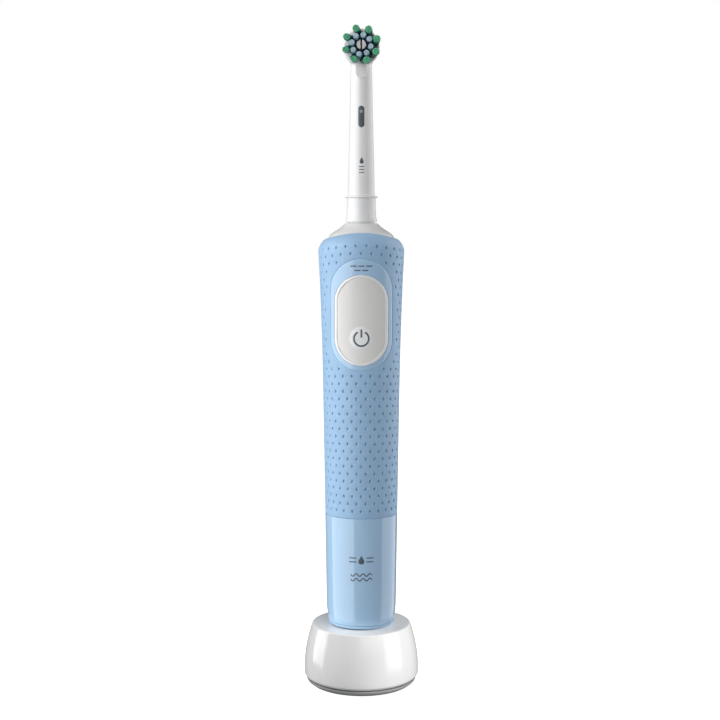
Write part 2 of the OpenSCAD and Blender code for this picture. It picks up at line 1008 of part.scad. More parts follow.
module brush_neck()
{
  round_r = 1.6;
  color(white)
    difference()
    {
      union()
      {
        rotate_extrude()
          polygon([
            [0, flange_z], [flange_r - 0.2, flange_z], [flange_r, flange_z + 0.2],
            [flange_r, flange_z + flange_t], [neck_low_r, flange_z + flange_t + 0.3],
            [4.85, 200], [4.4, 218], [neck_top_r, neck_top_z], [neck_top_r, disc_z], [0, disc_z]
          ]);
        translate([0, 0, disc_z])
          rotate([-90, 0, 0])
            rotate_extrude()
              polygon(concat(
                [[0, head_front_y], [head_r, head_front_y], [head_r, head_back_y - round_r]],
                [for (t = [30, 60, 90]) [head_r - round_r + round_r * cos(t),
                  head_back_y - round_r + round_r * sin(t)]],
                [[0, head_back_y]]
              ));
        translate([0, 0, 237.6])
          rotate([90, 0, 0])
            linear_extrude(-head_front_y)
              union()
              {
                translate([0, -2.1]) circle(r = 1.9);
                translate([-1.9, -2.1]) square([3.8, 4.2]);
              }
      }
      translate([0, 0, flange_z - 1]) cylinder(r = socket_r + 0.3, h = socket_top_z + 1.5 - flange_z);
      translate([0, 0, flange_z]) cylinder(r = rod_cavity_r, h = disc_z - 2.7 - flange_z);
      translate([0, pocket_back_y, disc_z])
        rotate([90, 0, 0])
          cylinder(r = pocket_r, h = 5);
      translate([0, 1.6, disc_z])
        rotate([90, 0, 0])
          cylinder(r = disc_pin_r, h = 5);
      mark_prism(2);
    }
}

// The upright slot that holds the grey mark in the front of the neck
module mark_prism(depth)
{
  intersection()
  {
    front_slot(2.3, 8, 218.4);
    ring(7, 5 - depth / 2 - 0.3, 213, 224);
  }
}

module neck_mark()
{
  color(dark_grey)
    intersection()
    {
      mark_prism(2);
      rotate_extrude()
        polygon([[3, 213], [4.52, 213], [4.39, 218], [4.26, 224], [3, 224]]);
    }
}

module head_base_ring()
{
  color(white)
    rotate_extrude()
      polygon([
        [4.4, head_z], [5.8, head_z], [5.9, head_z + 0.2], [5.9, base_step_z - 0.1],
        [5.7, base_step_z + 0.1], [5.45, 184.5], [5.4, flange_z], [4.4, flange_z]
      ]);
}

module head_clip()
{
  color(steel)
    difference()
    {
      ring(4.35, sleeve_r + running, 180.2, 187.6);
      for (a = [0, 90])
        rotate(a)
          translate([-5, -0.5, 183])
            cube([10, 1, 6]);
    }
}

module carrier_pin()
{
  color(steel)
    translate([0, 1.6, disc_z])
      rotate([90, 0, 0])
        cylinder(r = disc_pin_r, h = 1.6 - carrier_front_y - 0.6);
}

module head_drive_rod()
{
  arm_z = disc_z - fork_drop;
  socket_z = flange_z + 0.4;
  flat_gap = 0.08;
  color(pale_grey)
    difference()
    {
      union()
      {
        translate([0, 0, socket_z]) cylinder(r = socket_r, h = socket_top_z - socket_z);
        translate([0, 0, socket_top_z]) cylinder(r = 1.3, h = arm_z + 0.8 - socket_top_z);
        translate([0, 0, arm_z]) rotate([90, 0, 0]) cylinder(r = 0.5, h = crank_arm);
        translate([0, -crank_arm, arm_z]) sphere(r = ball_r, $fn = 32);
      }
      difference()
      {
        translate([0, 0, socket_z - 1])
          cylinder(r = shaft_r + running, h = shaft_top_z + 0.3 - socket_z + 1);
        translate([-3, shaft_r - 0.5 + flat_gap, shaft_top_z - 9.5]) cube([6, 3, 12]);
      }
    }
}

module bristle_carrier()
{
  edge = 0.5;
  rib_t = 0.9;
  color(white)
    translate([0, 0, disc_z])
      difference()
      {
        union()
        {
          rotate([90, 0, 0])
            rotate_extrude()
              polygon([
                [0, -carrier_back_y], [carrier_r - edge, -carrier_back_y],
                [carrier_r, -carrier_back_y + edge], [carrier_r, -carrier_front_y - edge],
                [carrier_r - edge, -carrier_front_y], [0, -carrier_front_y]
              ]);
          for (side = [-1, 1])
            translate([side * (ball_r + 0.1 + rib_t / 2), carrier_back_y + 0.85, -4.1])
              cube([rib_t, 1.7, 1.6], center = true);
        }
        translate([0, carrier_back_y + 1, 0])
          rotate([90, 0, 0])
            cylinder(r = disc_pin_r + running, h = carrier_back_y + 1 - carrier_front_y - 0.5);
      }
}

// A tuft between two points given as ring radius, angle and depth
module tuft(r, base_r, base_a, tip_r, tip_a, tip_y)
{
  a = [base_r * cos(base_a), carrier_front_y, base_r * sin(base_a)];
  b = [tip_r * cos(tip_a), tip_y, tip_r * sin(tip_a)];
  d = b - a;
  l = norm(d);
  translate([a[0], a[1], disc_z + a[2]])
    rotate([0, acos(d[2] / l), atan2(d[1], d[0])])
      translate([0, 0, 0.4])
        cylinder(r = r, h = l - 0.4);
}

module outer_tufts()
{
  color([0.2, 0.6, 0.4])
    intersection()
    {
      union()
        for (i = [0 : ring_tufts - 1])
          tuft(outer_tuft_r, 5.3, 45 * i - 1.5, 6.5, 45 * i + 19.5, tuft_tip_y);
      translate([-15, -30, disc_z - 15]) cube([30, 30 + carrier_front_y, 30]);
    }
}

module inner_tufts()
{
  color([0.4, 0.6, 0.8])
    intersection()
    {
      union()
        for (i = [0 : ring_tufts - 1])
          tuft(inner_tuft_r, 3.4, 45 * i + 12, 3.75, 45 * i - 12.6, tuft_tip_y + 0.5);
      translate([-15, -30, disc_z - 15]) cube([30, 30 + carrier_front_y, 30]);
    }
}

module centre_tufts()
{
  color(white)
    translate([0, carrier_front_y, disc_z])
      rotate([90, 0, 0])
        linear_extrude(carrier_front_y - tuft_tip_y - 0.9)
          difference()
          {
            circle(r = 2);
            square([0.5, 6], center = true);
          }
}

charger_housing();
charger_base_plate();
charger_core();
charger_bobbin();
charger_coil();
charger_board();
charger_capacitor();
charger_board_parts();
cord_gland();
housing_tube();
soft_grip();
top_collar();
button_bezel();
button_seal();
bottom_cap();
bottom_seal_ring();
charging_bobbin();
charging_coil();
chassis();
battery_cell();
battery_plus_tab();
battery_minus_tab();
main_board();
button_switch();
board_chips();
motor_can();
motor_magnets();
motor_end_cap();
gearbox_frame();
frame_screws();
gear_axle();
lower_shaft_bush();
upper_shaft_bush();
shaft_seal();
shaft_sleeve();
rotor_core();
commutator();
motor_shaft();
pinion_gear();
crank_gear();
crank_pin();
coupler_link();
drive_shaft();
rocker_arm();
rocker_pin();
power_button();
button_pad();
power_symbol();
brush_neck();
head_base_ring();
head_clip();
carrier_pin();
neck_mark();
head_drive_rod();
bristle_carrier();
outer_tufts();
inner_tufts();
centre_tufts();
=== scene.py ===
"""Looks of an electric toothbrush that stands on its charger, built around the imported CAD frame.

The object's lengths are written in millimetres and become metres when a mesh is made. The camera, the
lights and the floor are placed in metres. The frame's origin is the centre of the charger's underside,
+Z is up and -Y is the side of the button and the bristles.
"""

import json
import math

import bmesh
import bpy
import numpy as np
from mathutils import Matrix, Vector
from mathutils.geometry import delaunay_2d_cdt


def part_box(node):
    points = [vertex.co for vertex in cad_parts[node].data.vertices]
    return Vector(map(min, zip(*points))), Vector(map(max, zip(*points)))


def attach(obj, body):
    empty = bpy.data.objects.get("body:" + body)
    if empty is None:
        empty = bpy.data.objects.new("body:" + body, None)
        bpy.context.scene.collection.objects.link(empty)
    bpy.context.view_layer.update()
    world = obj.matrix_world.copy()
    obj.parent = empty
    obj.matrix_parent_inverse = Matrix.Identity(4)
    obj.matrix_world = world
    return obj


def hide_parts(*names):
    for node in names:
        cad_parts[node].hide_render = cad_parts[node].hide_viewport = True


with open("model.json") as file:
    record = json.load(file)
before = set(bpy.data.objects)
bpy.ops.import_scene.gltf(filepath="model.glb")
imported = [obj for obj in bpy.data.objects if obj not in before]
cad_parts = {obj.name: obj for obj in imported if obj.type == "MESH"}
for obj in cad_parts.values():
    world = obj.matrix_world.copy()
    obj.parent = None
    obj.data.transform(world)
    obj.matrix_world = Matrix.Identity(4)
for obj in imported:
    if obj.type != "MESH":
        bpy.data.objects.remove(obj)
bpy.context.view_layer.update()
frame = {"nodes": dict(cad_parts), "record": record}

MM = 0.001
TURN = 2 * math.pi
rng = np.random.default_rng(20)


def low(node):
    """Lowest corner of a CAD node, in millimetres."""
    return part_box(node)[0] / MM


def high(node):
    """Highest corner of a CAD node, in millimetres."""
    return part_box(node)[1] / MM


def middle(node):
    """Middle of a CAD node's box, in millimetres."""
    return (low(node) + high(node)) / 2


# ---------------------------------------------------------------------------
# Driving dimensions, most of them read from the frame
# ---------------------------------------------------------------------------

CHARGER_R = high("charger_housing").x
CHARGER_LOW_Z = low("charger_housing").z
CHARGER_WALL = 1.8
CHARGER_RIM_R = CHARGER_R - 2.15
PEG_TOP_Z = high("charger_housing").z
PEG_R = 4.5
PEG_WALL = 1.2
CHARGER_TOP_Z = PEG_TOP_Z - 13.5
CHARGER_TOP_R = CHARGER_R - 3.25
BELLY_Z = 5.5
PARTING_Z = CHARGER_LOW_Z - 0.3
BASE_R = high("charger_base_plate").x
INLET_Z = middle("cord_gland").z
INLET_R = 1.9
GLAND_R = 3

HANDLE_Z = low("bottom_cap").z
HANDLE_R = high("bottom_cap").x
TAPER = 0.0148
FLARE = 0.00034
FLARE_Z = HANDLE_Z + 92.5
FOOT_TOP_Z = HANDLE_Z + 8
FOOT_TUCK = 0.75
TUBE_Z = low("housing_tube").z
TUBE_TOP_Z = high("housing_tube").z
TUBE_LOW_R = 11.65
TUBE_WALL = 1.3
GRIP_Z = low("soft_grip").z + 0.45
GRIP_T = 1.1
COLLAR_LOW_Z = low("top_collar").z
COLLAR_TOP_Z = high("top_collar").z
COLLAR_R = high("top_collar").x
SLEEVE_R = 3

# The grip's top edge dips by SIDE_DIP at the sides, and every row on the grip dips in proportion
SIDE_DIP = 2.15
RIM_Z = COLLAR_TOP_Z - 3.6
BEND_Z = RIM_Z - 4.8
SHOULDER_POWER = 1.6
LIP = 0.5

DIMPLES_ROUND = 26
DIMPLE_ROWS = 36
DIMPLE_ROW_STEP = 2.858
DIMPLE_TOP_Z = RIM_Z - 4.8
DIMPLE_W = 0.42
DIMPLE_H = 0.58
DIMPLE_DEPTH = 0.62

BUTTON_W = 2 * high("power_button").x
BUTTON_H = high("power_button").z - low("power_button").z
BUTTON_Z = middle("power_button").z
BEZEL_W = 2 * high("button_bezel").x
BEZEL_H = high("button_bezel").z - low("button_bezel").z
BEZEL_Z = middle("button_bezel").z
BUTTON_GAP = 0.03
PANEL_RISE = 0.12
RIM_W = 1.05
PAD_RISE = 0.12
SYMBOL_Z = BUTTON_Z - 6.7

# Printed marks stand out by PRINT_RISE and reach PRINT_ROOT into what they are printed on
PRINT_RISE = 0.025
PRINT_ROOT = 0.05

HEAD_LOW_Z = low("head_base_ring").z
FLANGE_Z = low("brush_neck").z
DISC_Z = middle("bristle_carrier").z
CARRIER_R = high("bristle_carrier").x
CARRIER_FRONT_Y = low("bristle_carrier").y
CARRIER_BACK_Y = -4.5
HEAD_R = high("brush_neck").x
HEAD_FRONT_Y = -4.2
HEAD_BACK_Y = 3.4
MARK_Z = middle("neck_mark").z
TUFT_TIP_Y = low("outer_tufts").y


def outer_r(z):
    """Radius of the handle's outer surface at height z."""
    foot = FOOT_TUCK * (np.maximum(0, FOOT_TOP_Z - z) / (FOOT_TOP_Z - HANDLE_Z)) ** 2
    return HANDLE_R - foot + TAPER * (z - HANDLE_Z) + FLARE * np.maximum(0, z - FLARE_Z) ** 2


def dome_r(z):
    """Radius of the white dome above the grip at height z."""
    heights = [RIM_Z - 1.6, RIM_Z - 0.8, RIM_Z + 0.4, RIM_Z + 1.75, COLLAR_TOP_Z]
    return np.interp(z, heights, [COLLAR_R, 12.0, 10.45, 8.2, 6])


def neck_r(z):
    """Radius of the brush head's neck at height z, with the thin flange at its foot."""
    flange = [(0, 5.95), (0.06, 6.12), (0.16, 6.2), (0.44, 6.2), (0.54, 6.12), (0.6, 5.95)]
    neck = [(0.62, 5.4), (0.7, 5.2), (0.9, 5.08), (11.8, 4.85), (29.8, 4.4), (49.8, 4.0), (60, 3.8)]
    heights, radii = zip(*flange + neck)
    return np.interp(z, [FLANGE_Z + height for height in heights], radii)


def charger_r(z):
    """Radius of the charger's side at height z, widest at its belly."""
    above = (CHARGER_R - CHARGER_TOP_R) * ((z - BELLY_Z) / (CHARGER_TOP_Z - BELLY_Z)) ** 2
    below = 0.5 * ((BELLY_Z - z) / (BELLY_Z - PARTING_Z)) ** 2
    return CHARGER_R - (above if z > BELLY_Z else below)


# ---------------------------------------------------------------------------
# Mesh helpers
# ---------------------------------------------------------------------------


def make_object(name, points, faces, sharp=35, weld=0.002):
    """A smooth-shaded object from points in millimetres. Points closer than weld are joined."""
    mesh = bpy.data.meshes.new(name)
    mesh.from_pydata((np.asarray(points, float) * MM).tolist(), [], [tuple(map(int, f)) for f in faces])
    bm = bmesh.new()
    bm.from_mesh(mesh)
    if weld:
        bmesh.ops.remove_doubles(bm, verts=bm.verts, dist=weld * MM)
    face_out(bm)
    bm.to_mesh(mesh)
    bm.free()
    smooth(mesh, sharp)
    obj = bpy.data.objects.new(name, mesh)
    bpy.context.scene.collection.objects.link(obj)
    return obj


def face_out(bm):
    """Turns the faces of every closed shell in a mesh outward."""
    bmesh.ops.recalc_face_normals(bm, faces=bm.faces)
    bm.faces.index_update()
    seen = set()
    for first in bm.faces:
        if first.index in seen:
            continue
        seen.add(first.index)
        shell = [first]
        for face in shell:
            for other in (other for edge in face.edges for other in edge.link_faces):
                if other.index not in seen:
                    seen.add(other.index)
                    shell.append(other)
        middle_point = sum((face.calc_center_median() for face in shell), Vector()) / len(shell)
        volume = sum((face.calc_center_median() - middle_point).dot(face.normal) * face.calc_area()
                     for face in shell)
        if volume < 0:
            bmesh.ops.reverse_faces(bm, faces=shell)


def smooth(mesh, sharp=35):
    """Smooth shading, apart from edges sharper than the given angle in degrees."""
    mesh.shade_smooth()
    mesh.set_sharp_from_angle(angle=math.radians(sharp))


# Faces of a box whose corners are listed with x varying slowest and z fastest
BOX_FACES = [(0, 1, 3, 2), (4, 6, 7, 5), (0, 4, 5, 1), (2, 3, 7, 6), (0, 2, 6, 4), (1, 5, 7, 3)]


def join(*parts):
    """One (points, faces) pair from several."""
    points, faces, start = [], [], 0
    for part_points, part_faces in parts:
        points.append(np.asarray(part_points, float))
        faces += [tuple(i + start for i in face) for face in part_faces]
        start += len(part_points)
    return np.vstack(points), faces


def fillet(corners, steps=6):
    """A closed outline with each (x, y, radius) corner rounded by an arc."""
    points = []
    for i, (x, y, radius) in enumerate(corners):
        here = Vector((x, y))
        back = Vector(corners[i - 1][:2]) - here
        ahead = Vector(corners[(i + 1) % len(corners)][:2]) - here
        if radius <= 0:
            points.append((x, y))
            continue
        half = back.angle(ahead) / 2
        reach = min(radius / math.tan(half), back.length * 0.49, ahead.length * 0.49)
        size = reach * math.tan(half)
        centre = here + (back.normalized() + ahead.normalized()).normalized() * size / math.sin(half)
        first = here + back.normalized() * reach - centre
        last = here + ahead.normalized() * reach - centre
        start = math.atan2(first.y, first.x)
        sweep = (math.atan2(last.y, last.x) - start + math.pi) % TURN - math.pi
        for k in range(steps + 1):
            angle = start + sweep * k / steps
            points.append((centre.x + size * math.cos(angle), centre.y + size * math.sin(angle)))
    return points


def about_z(radius, angle, height):
    """Places a lathe's points round the upright axis."""
    return np.stack([radius * np.cos(angle), radius * np.sin(angle), height + 0 * angle], -1)


def about_level(axis_z):
    """Places a lathe's points round a front-to-back axis at a height, a profile's heights being their Y."""

    def place(radius, angle, y):
        return np.stack([radius * np.cos(angle), y + 0 * angle, axis_z + radius * np.sin(angle)], -1)

    return place


def lathe(profile, place=about_z, segments=160):
    """Points and faces of a closed (radius, height) outline turned round an axis."""
    angles = np.arange(segments) * TURN / segments
    points = np.vstack([place(r, angles, h) for r, h in profile])
    faces = []
    for i in range(len(profile)):
        j = (i + 1) % len(profile)
        if profile[i][0] < 1e-6 and profile[j][0] < 1e-6:
            continue
        for a in range(segments):
            b = (a + 1) % segments
            faces.append((i * segments + a, i * segments + b, j * segments + b, j * segments + a))
    return points, faces


def boolean(obj, other, operation="DIFFERENCE"):
    """Cuts other from obj, or adds it, and removes other."""
    modifier = obj.modifiers.new("boolean", "BOOLEAN")
    modifier.operation = operation
    modifier.object = other
    modifier.solver = "EXACT"
    bpy.context.view_layer.update()
    made = bpy.data.meshes.new_from_object(obj.evaluated_get(bpy.context.evaluated_depsgraph_get()))
    obj.modifiers.clear()
    bm = bmesh.new()
    bm.from_mesh(made)
    bmesh.ops.dissolve_degenerate(bm, dist=0.001 * MM, edges=bm.edges)
    bm.to_mesh(made)
    bm.free()
    obj.data = made
    smooth(made)
    bpy.data.objects.remove(other)
    return obj


def inside(outline, points):
    """Which points lie inside a closed outline."""
    x, y = points[:, 0], points[:, 1]
    found = np.zeros(len(points), bool)
    for (x0, y0), (x1, y1) in zip(outline, np.roll(outline, -1, 0)):
        if y0 == y1:
            continue
        crosses = (y0 > y) != (y1 > y)
        found ^= crosses & (x < (x1 - x0) * (y - y0) / (y1 - y0) + x0)
    return found


def within(edges, points):
    """Which points lie inside the first outline and outside all the others."""
    found = inside(edges[0], points)
    for hole in edges[1:]:
        found &= ~inside(hole, points)
    return found


def far_from(points, others, gap):
    """Which points are further than gap from every one of the others."""
    kept = np.ones(len(points), bool)
    for start in range(0, len(others), 200):
        span = points[:, None, :] - others[None, start : start + 200, :]
        kept &= (np.hypot(span[..., 0], span[..., 1]) > gap).all(1)
    return kept


def lattice(corner, size, step):
    """A staggered grid of 2D points over a box."""
    rows = int(size[1] / (step * 0.87)) + 2
    columns = int(size[0] / step) + 2
    y, x = np.mgrid[0:rows, 0:columns].astype(float)
    x = (x + 0.5 * (y % 2)) * step + corner[0]
    return np.stack([x.ravel(), y.ravel() * step * 0.87 + corner[1]], -1)


def triangulate(points, loops, keep):
    """Triangles between 2D points. Each loop of point numbers stays as edges, and keep picks by centre."""
    edges = [(a, b) for loop in loops for a, b in zip(loop, loop[1:] + loop[:1])]
    flat, _, faces, origin, _, _ = delaunay_2d_cdt([Vector(p) for p in points], edges, [], 0, 1e-5)
    flat = np.array(flat)
    faces = np.array(faces)
    number = np.array([first[0] if first else -1 for first in origin])
    kept = faces[keep(flat[faces].mean(1))]
    return [tuple(face) for face in number[kept]]


def slot_outline(width, height, z, step=0.7):
    """Outline of an upright rounded slot, as a function of the distance into it."""
    count = int(math.pi * width / 2 / step)
    side = int((height - width) / step)

    def outline(inset):
        r = width / 2 - inset
        reach = (height - width) / 2
        arc = np.linspace(0, math.pi, count + 1)
        line = np.linspace(reach, -reach, side + 1)[1:-1]
        top = np.stack([r * np.cos(arc), reach + r * np.sin(arc)], -1)
        left = np.stack([0 * line - r, line], -1)
        half = np.vstack([top, left])
        return np.vstack([half, -half]) + [0, z]

    return outline


def stroke_outline(path, half_width, cap=8):
    """Outline of a line of even width with round ends, as a function of the distance into it."""
    path = np.asarray(path, float)
    along = np.gradient(path, axis=0)
    along /= np.linalg.norm(along, axis=1)[:, None]
    across = np.stack([along[:, 1], -along[:, 0]], -1)

    def outline(inset):
        r = half_width - inset
        turn = np.linspace(0, math.pi, cap + 1)[1:-1, None]
        end = path[-1] + r * (np.cos(turn) * across[-1] + np.sin(turn) * along[-1])
        start = path[0] - r * (np.cos(turn) * across[0] + np.sin(turn) * along[0])
        return np.vstack([path + r * across, end, (path - r * across)[::-1], start])

    return outline


def drop_outline(width, height, x, z, count=28):
    """Outline of an upright water drop, as a function of the distance into it."""

    def outline(inset):
        t = np.arange(count) * TURN / count
        wide = (width / 2 - inset) * 1.3
        return np.stack([x - wide * np.sin(t) * np.sin(t / 2) ** 1.5,
                         z + (height / 2 - inset) * np.cos(t)], -1)

    return outline


def round_outline(radius, x, z, count=24):
    """Outline of a circle, as a function of the distance into it."""

    def outline(inset):
        t = np.arange(count) * TURN / count
        return np.stack([x + (radius - inset) * np.cos(t), z + (radius - inset) * np.sin(t)], -1)

    return outline


def rounded(top, radius, steps=4):
    """(inset, depth) steps of a rounded edge that ends at depth top."""
    turns = [math.pi / 2 * k / steps for k in range(steps + 1)]
    return [(radius * (1 - math.cos(t)), top - radius * (1 - math.sin(t))) for t in turns]


def plate(rims, surface, back, spacing, crown=None):
    """Points and faces of a closed solid that lies on a surface.

    rims holds (outline, steps) pairs, the outer edge first and then any holes: outline gives the edge at
    a distance into the plate, and steps are the (inset, depth) pairs of the front face from that edge on.
    surface(x, z, depth) places points, back is the depth of the back face, and crown(x, z) adds depth.
    """
    rings, depths, loops, walls, last = [], [], [], [], []
    start = 0
    for number, (outline, steps) in enumerate(rims):
        way = 1 if number == 0 else -1
        for inset, depth in steps:
            ring = outline(way * inset)
            rings.append(ring)
            depths.append(np.full(len(ring), float(depth)))
            loops.append(list(range(start, start + len(ring))))
            start += len(ring)
        walls.append(loops[-len(steps)])
        last.append(ring)
    corner, far = last[0].min(0), last[0].max(0)
    fill = lattice(corner, far - corner, spacing)
    fill = fill[within(last, fill)]
    fill = fill[far_from(fill, np.vstack(last), spacing * 0.55)]
    flat = np.vstack(rings + [fill])
    top = rims[0][1][-1][1]
    depth = np.concatenate(depths + [np.full(len(fill), float(top))])
    if crown:
        depth = depth + crown(flat[:, 0], flat[:, 1])
    edges = [outline(0) for outline, _ in rims]
    front = triangulate(flat, loops, lambda centres: within(edges, centres))
    count = len(flat)
    points = np.vstack([surface(flat[:, 0], flat[:, 1], depth),
                        surface(flat[:, 0], flat[:, 1], np.full(count, float(back)))])
    faces = front + [(a + count, c + count, b + count) for a, b, c in front]
    for loop in walls:
        for a, b in zip(loop, loop[1:] + loop[:1]):
            faces.append((a, b, b + count, a + count))
    return points, faces


def on_front(skin):
    """Places a plate's points on the front of a round body, skin being the body's radius at a height."""

    def place(x, z, depth):
        return np.stack([x, -np.sqrt((skin(z) + depth) ** 2 - x**2), z], -1)

    return place


on_handle = on_front(outer_r)
on_neck = on_front(neck_r)


def straight(x, z, depth):
    """Points straight in front of the upright axis, depth being how far forward they lie."""
    return np.stack([x, 0 * x - depth, z], -1)


# ---------------------------------------------------------------------------
# Camera, floor and light
# ---------------------------------------------------------------------------


def make_camera():
    """A camera in front of the object that looks slightly down on it."""
    distance = 0.5184
    pitch = math.radians(5.2)
    aim = Vector((-0.0005, 0, 0.1264))
    data = bpy.data.cameras.new("camera")
    data.lens = 67.5
    data.sensor_width = 36
    camera = bpy.data.objects.new("camera", data)
    camera.location = aim + distance * Vector((0, -math.cos(pitch), math.sin(pitch)))
    camera.rotation_euler = (math.pi / 2 - pitch, 0, 0)
    bpy.context.scene.collection.objects.link(camera)
    bpy.context.scene.camera = camera


def make_softbox(name, place, aim, size, radiance):
    """A rectangular light that faces aim and isn't itself seen by the camera."""
    data = bpy.data.lights.new(name, "AREA")
    data.shape = "RECTANGLE"
    data.size, data.size_y = size
    data.energy = radiance * math.pi * size[0] * size[1]
    light = bpy.data.objects.new(name, data)
    light.location = place
    light.rotation_euler = (Vector(aim) - Vector(place)).to_track_quat("-Z", "Y").to_euler()
    light.visible_camera = False
    bpy.context.scene.collection.objects.link(light)
    return light


def for_the_eye(tree, to_light, to_eye):
    """A value that is to_eye where the camera looks straight at something and to_light for other rays."""
    path = tree.nodes.new("ShaderNodeLightPath")
    span = tree.nodes.new("ShaderNodeMapRange")
    span.inputs["To Min"].default_value = to_light
    span.inputs["To Max"].default_value = to_eye
    tree.links.new(path.outputs["Is Camera Ray"], span.inputs["Value"])
    return span.outputs["Result"]


def make_lights():
    """Two large softboxes for the handle and three for the charger, each lighting its own side only."""
    aim = (0, 0, 0.13)
    for name, azimuth, height, size, radiance, receivers in (
        ("left softbox", -66, 0.2, (1.9, 1.9), 2.62, handle_side),
        ("right softbox", 106, 0.2, (1.5, 1.9), 1.7, handle_side),
        ("charger left softbox", -98, 0.35, (0.65, 1.1), 5.2, charger_side),
        ("charger right softbox", 70, 0.35, (0.75, 1.1), 3.9, charger_side),
        ("charger fill", 22, 0.8, (1.2, 1.2), 1.85, charger_side),
    ):
        turn = math.radians(azimuth)
        light = make_softbox(name, (math.sin(turn), -math.cos(turn), height), aim, size, radiance)
        light.light_linking.receiver_collection = receivers


def make_surround():
    """An even white surround, dimmer as light than it is to the eye."""
    world = bpy.data.worlds.new("surround")
    world.use_nodes = True
    background = world.node_tree.nodes["Background"]
    background.inputs["Color"].default_value = (1, 1, 1, 1)
    world.node_tree.links.new(for_the_eye(world.node_tree, 0.15, 1.0), background.inputs["Strength"])
    bpy.context.scene.world = world
    bpy.context.scene.view_settings.view_transform = "Standard"


def make_floor():
    """A plain pale floor that the object stands on, left out of glossy reflections."""
    half = 6.0
    mesh = bpy.data.meshes.new("floor")
    corners = [(-half, -half, 0), (half, -half, 0), (half, half, 0), (-half, half, 0)]
    mesh.from_pydata(corners, [], [(0, 1, 2, 3)])
    floor = bpy.data.objects.new("floor", mesh)
    bpy.context.scene.collection.objects.link(floor)
    material = bpy.data.materials.new("pale floor")
    material.use_nodes = True
    tree = material.node_tree
    inputs = tree.nodes["Principled BSDF"].inputs
    inputs["Roughness"].default_value = 0.9
    inputs["Specular IOR Level"].default_value = 0.0
    inputs["Emission Color"].default_value = (1, 1, 1, 1)
    tree.links.new(for_the_eye(tree, 0.5, 0.7), inputs["Base Color"])
    tree.links.new(for_the_eye(tree, 0.0, 0.97), inputs["Emission Strength"])
    mesh.materials.append(material)
    floor.visible_glossy = False
    handle_side.objects.link(floor)


# ---------------------------------------------------------------------------
# Materials
# ---------------------------------------------------------------------------


class Paint:
    """One node material round a Principled shader, with patterns laid out in object space."""

    def __init__(self, name, colour, roughness, metallic=0.0, **constants):
        self.material = bpy.data.materials.new(name)
        self.material.use_nodes = True
        self.nodes = self.material.node_tree.nodes
        self.links = self.material.node_tree.links
        self.shader = self.nodes["Principled BSDF"]
        self.colour = colour
        self.shader.inputs["Base Color"].default_value = (*colour, 1)
        self.shader.inputs["Roughness"].default_value = roughness
        self.shader.inputs["Metallic"].default_value = metallic
        for socket, value in constants.items():
            self.shader.inputs[socket.replace("_", " ")].default_value = value
        self.place = self.nodes.new("ShaderNodeTexCoord").outputs["Object"]

    def stretched(self, scale):
        """Object coordinates multiplied along each axis."""
        mapping = self.nodes.new("ShaderNodeMapping")
        mapping.inputs["Scale"].default_value = scale
        self.links.new(self.place, mapping.inputs["Vector"])
        return mapping.outputs["Vector"]

    def noise(self, scale, detail=2.0, stretch=None):
        """Cloudy noise, scale being features for each metre."""
        node = self.nodes.new("ShaderNodeTexNoise")
        node.inputs["Scale"].default_value = scale
        node.inputs["Detail"].default_value = detail
        self.links.new(self.stretched(stretch) if stretch else self.place, node.inputs["Vector"])
        return node.outputs["Fac"]

    def cells(self, scale):
        """Distance inside small cells, for grain."""
        node = self.nodes.new("ShaderNodeTexVoronoi")
        node.inputs["Scale"].default_value = scale
        self.links.new(self.place, node.inputs["Vector"])
        return node.outputs["Distance"]

    def bands(self, scale, axis="Z"):
        """Even bands across an axis, for windings."""
        node = self.nodes.new("ShaderNodeTexWave")
        node.wave_type = "BANDS"
        node.bands_direction = axis
        node.inputs["Scale"].default_value = scale
        node.inputs["Distortion"].default_value = 0.0
        self.links.new(self.place, node.inputs["Vector"])
        return node.outputs["Fac"]

    def axis(self, name):
        """One coordinate of the object's space, in metres."""
        node = self.nodes.new("ShaderNodeSeparateXYZ")
        self.links.new(self.place, node.inputs["Vector"])
        return node.outputs[name]

    def span(self, value, from_low, from_high, to_low, to_high):
        """value moved from one range to another."""
        node = self.nodes.new("ShaderNodeMapRange")
        node.inputs["From Min"].default_value = from_low
        node.inputs["From Max"].default_value = from_high
        node.inputs["To Min"].default_value = to_low
        node.inputs["To Max"].default_value = to_high
        self.links.new(value, node.inputs["Value"])
        return node.outputs["Result"]

    def tint(self, value, first, second):
        """The base colour runs from first to second as value goes from 0 to 1."""
        node = self.nodes.new("ShaderNodeMix")
        node.data_type = "RGBA"
        node.inputs["A"].default_value = (*first, 1)
        node.inputs["B"].default_value = (*second, 1)
        self.links.new(value, node.inputs["Factor"])
        self.links.new(node.outputs["Result"], self.shader.inputs["Base Color"])
        return self

    def shades(self, value, share):
        """The base colour varies round its own value by a share."""
        darker = tuple(c * (1 - share) for c in self.colour)
        lighter = tuple(min(1, c * (1 + share)) for c in self.colour)
        return self.tint(self.span(value, 0.3, 0.7, 0, 1), darker, lighter)

    def rough(self, value, smoothest, roughest):
        """Roughness varies between two values."""
        self.links.new(self.span(value, 0.3, 0.7, smoothest, roughest), self.shader.inputs["Roughness"])
        return self

    def bump(self, value, depth, strength=1.0):
        """A fine relief, depth in millimetres."""
        node = self.nodes.new("ShaderNodeBump")
        node.inputs["Strength"].default_value = strength
        node.inputs["Distance"].default_value = depth * MM
        self.links.new(value, node.inputs["Height"])
        self.links.new(node.outputs["Normal"], self.shader.inputs["Normal"])
        return self


def gloss_plastic(name, colour, roughness=0.16):
    """Moulded glossy plastic: a faint unevenness of the mould and fine handling haze."""
    paint = Paint(name, colour, roughness, IOR=1.5)
    paint.shades(paint.noise(90, 3), 0.012)
    paint.rough(paint.noise(700, 4), roughness * 0.75, roughness * 1.4)
    return paint.bump(paint.noise(260, 2), 0.012, 0.5).material


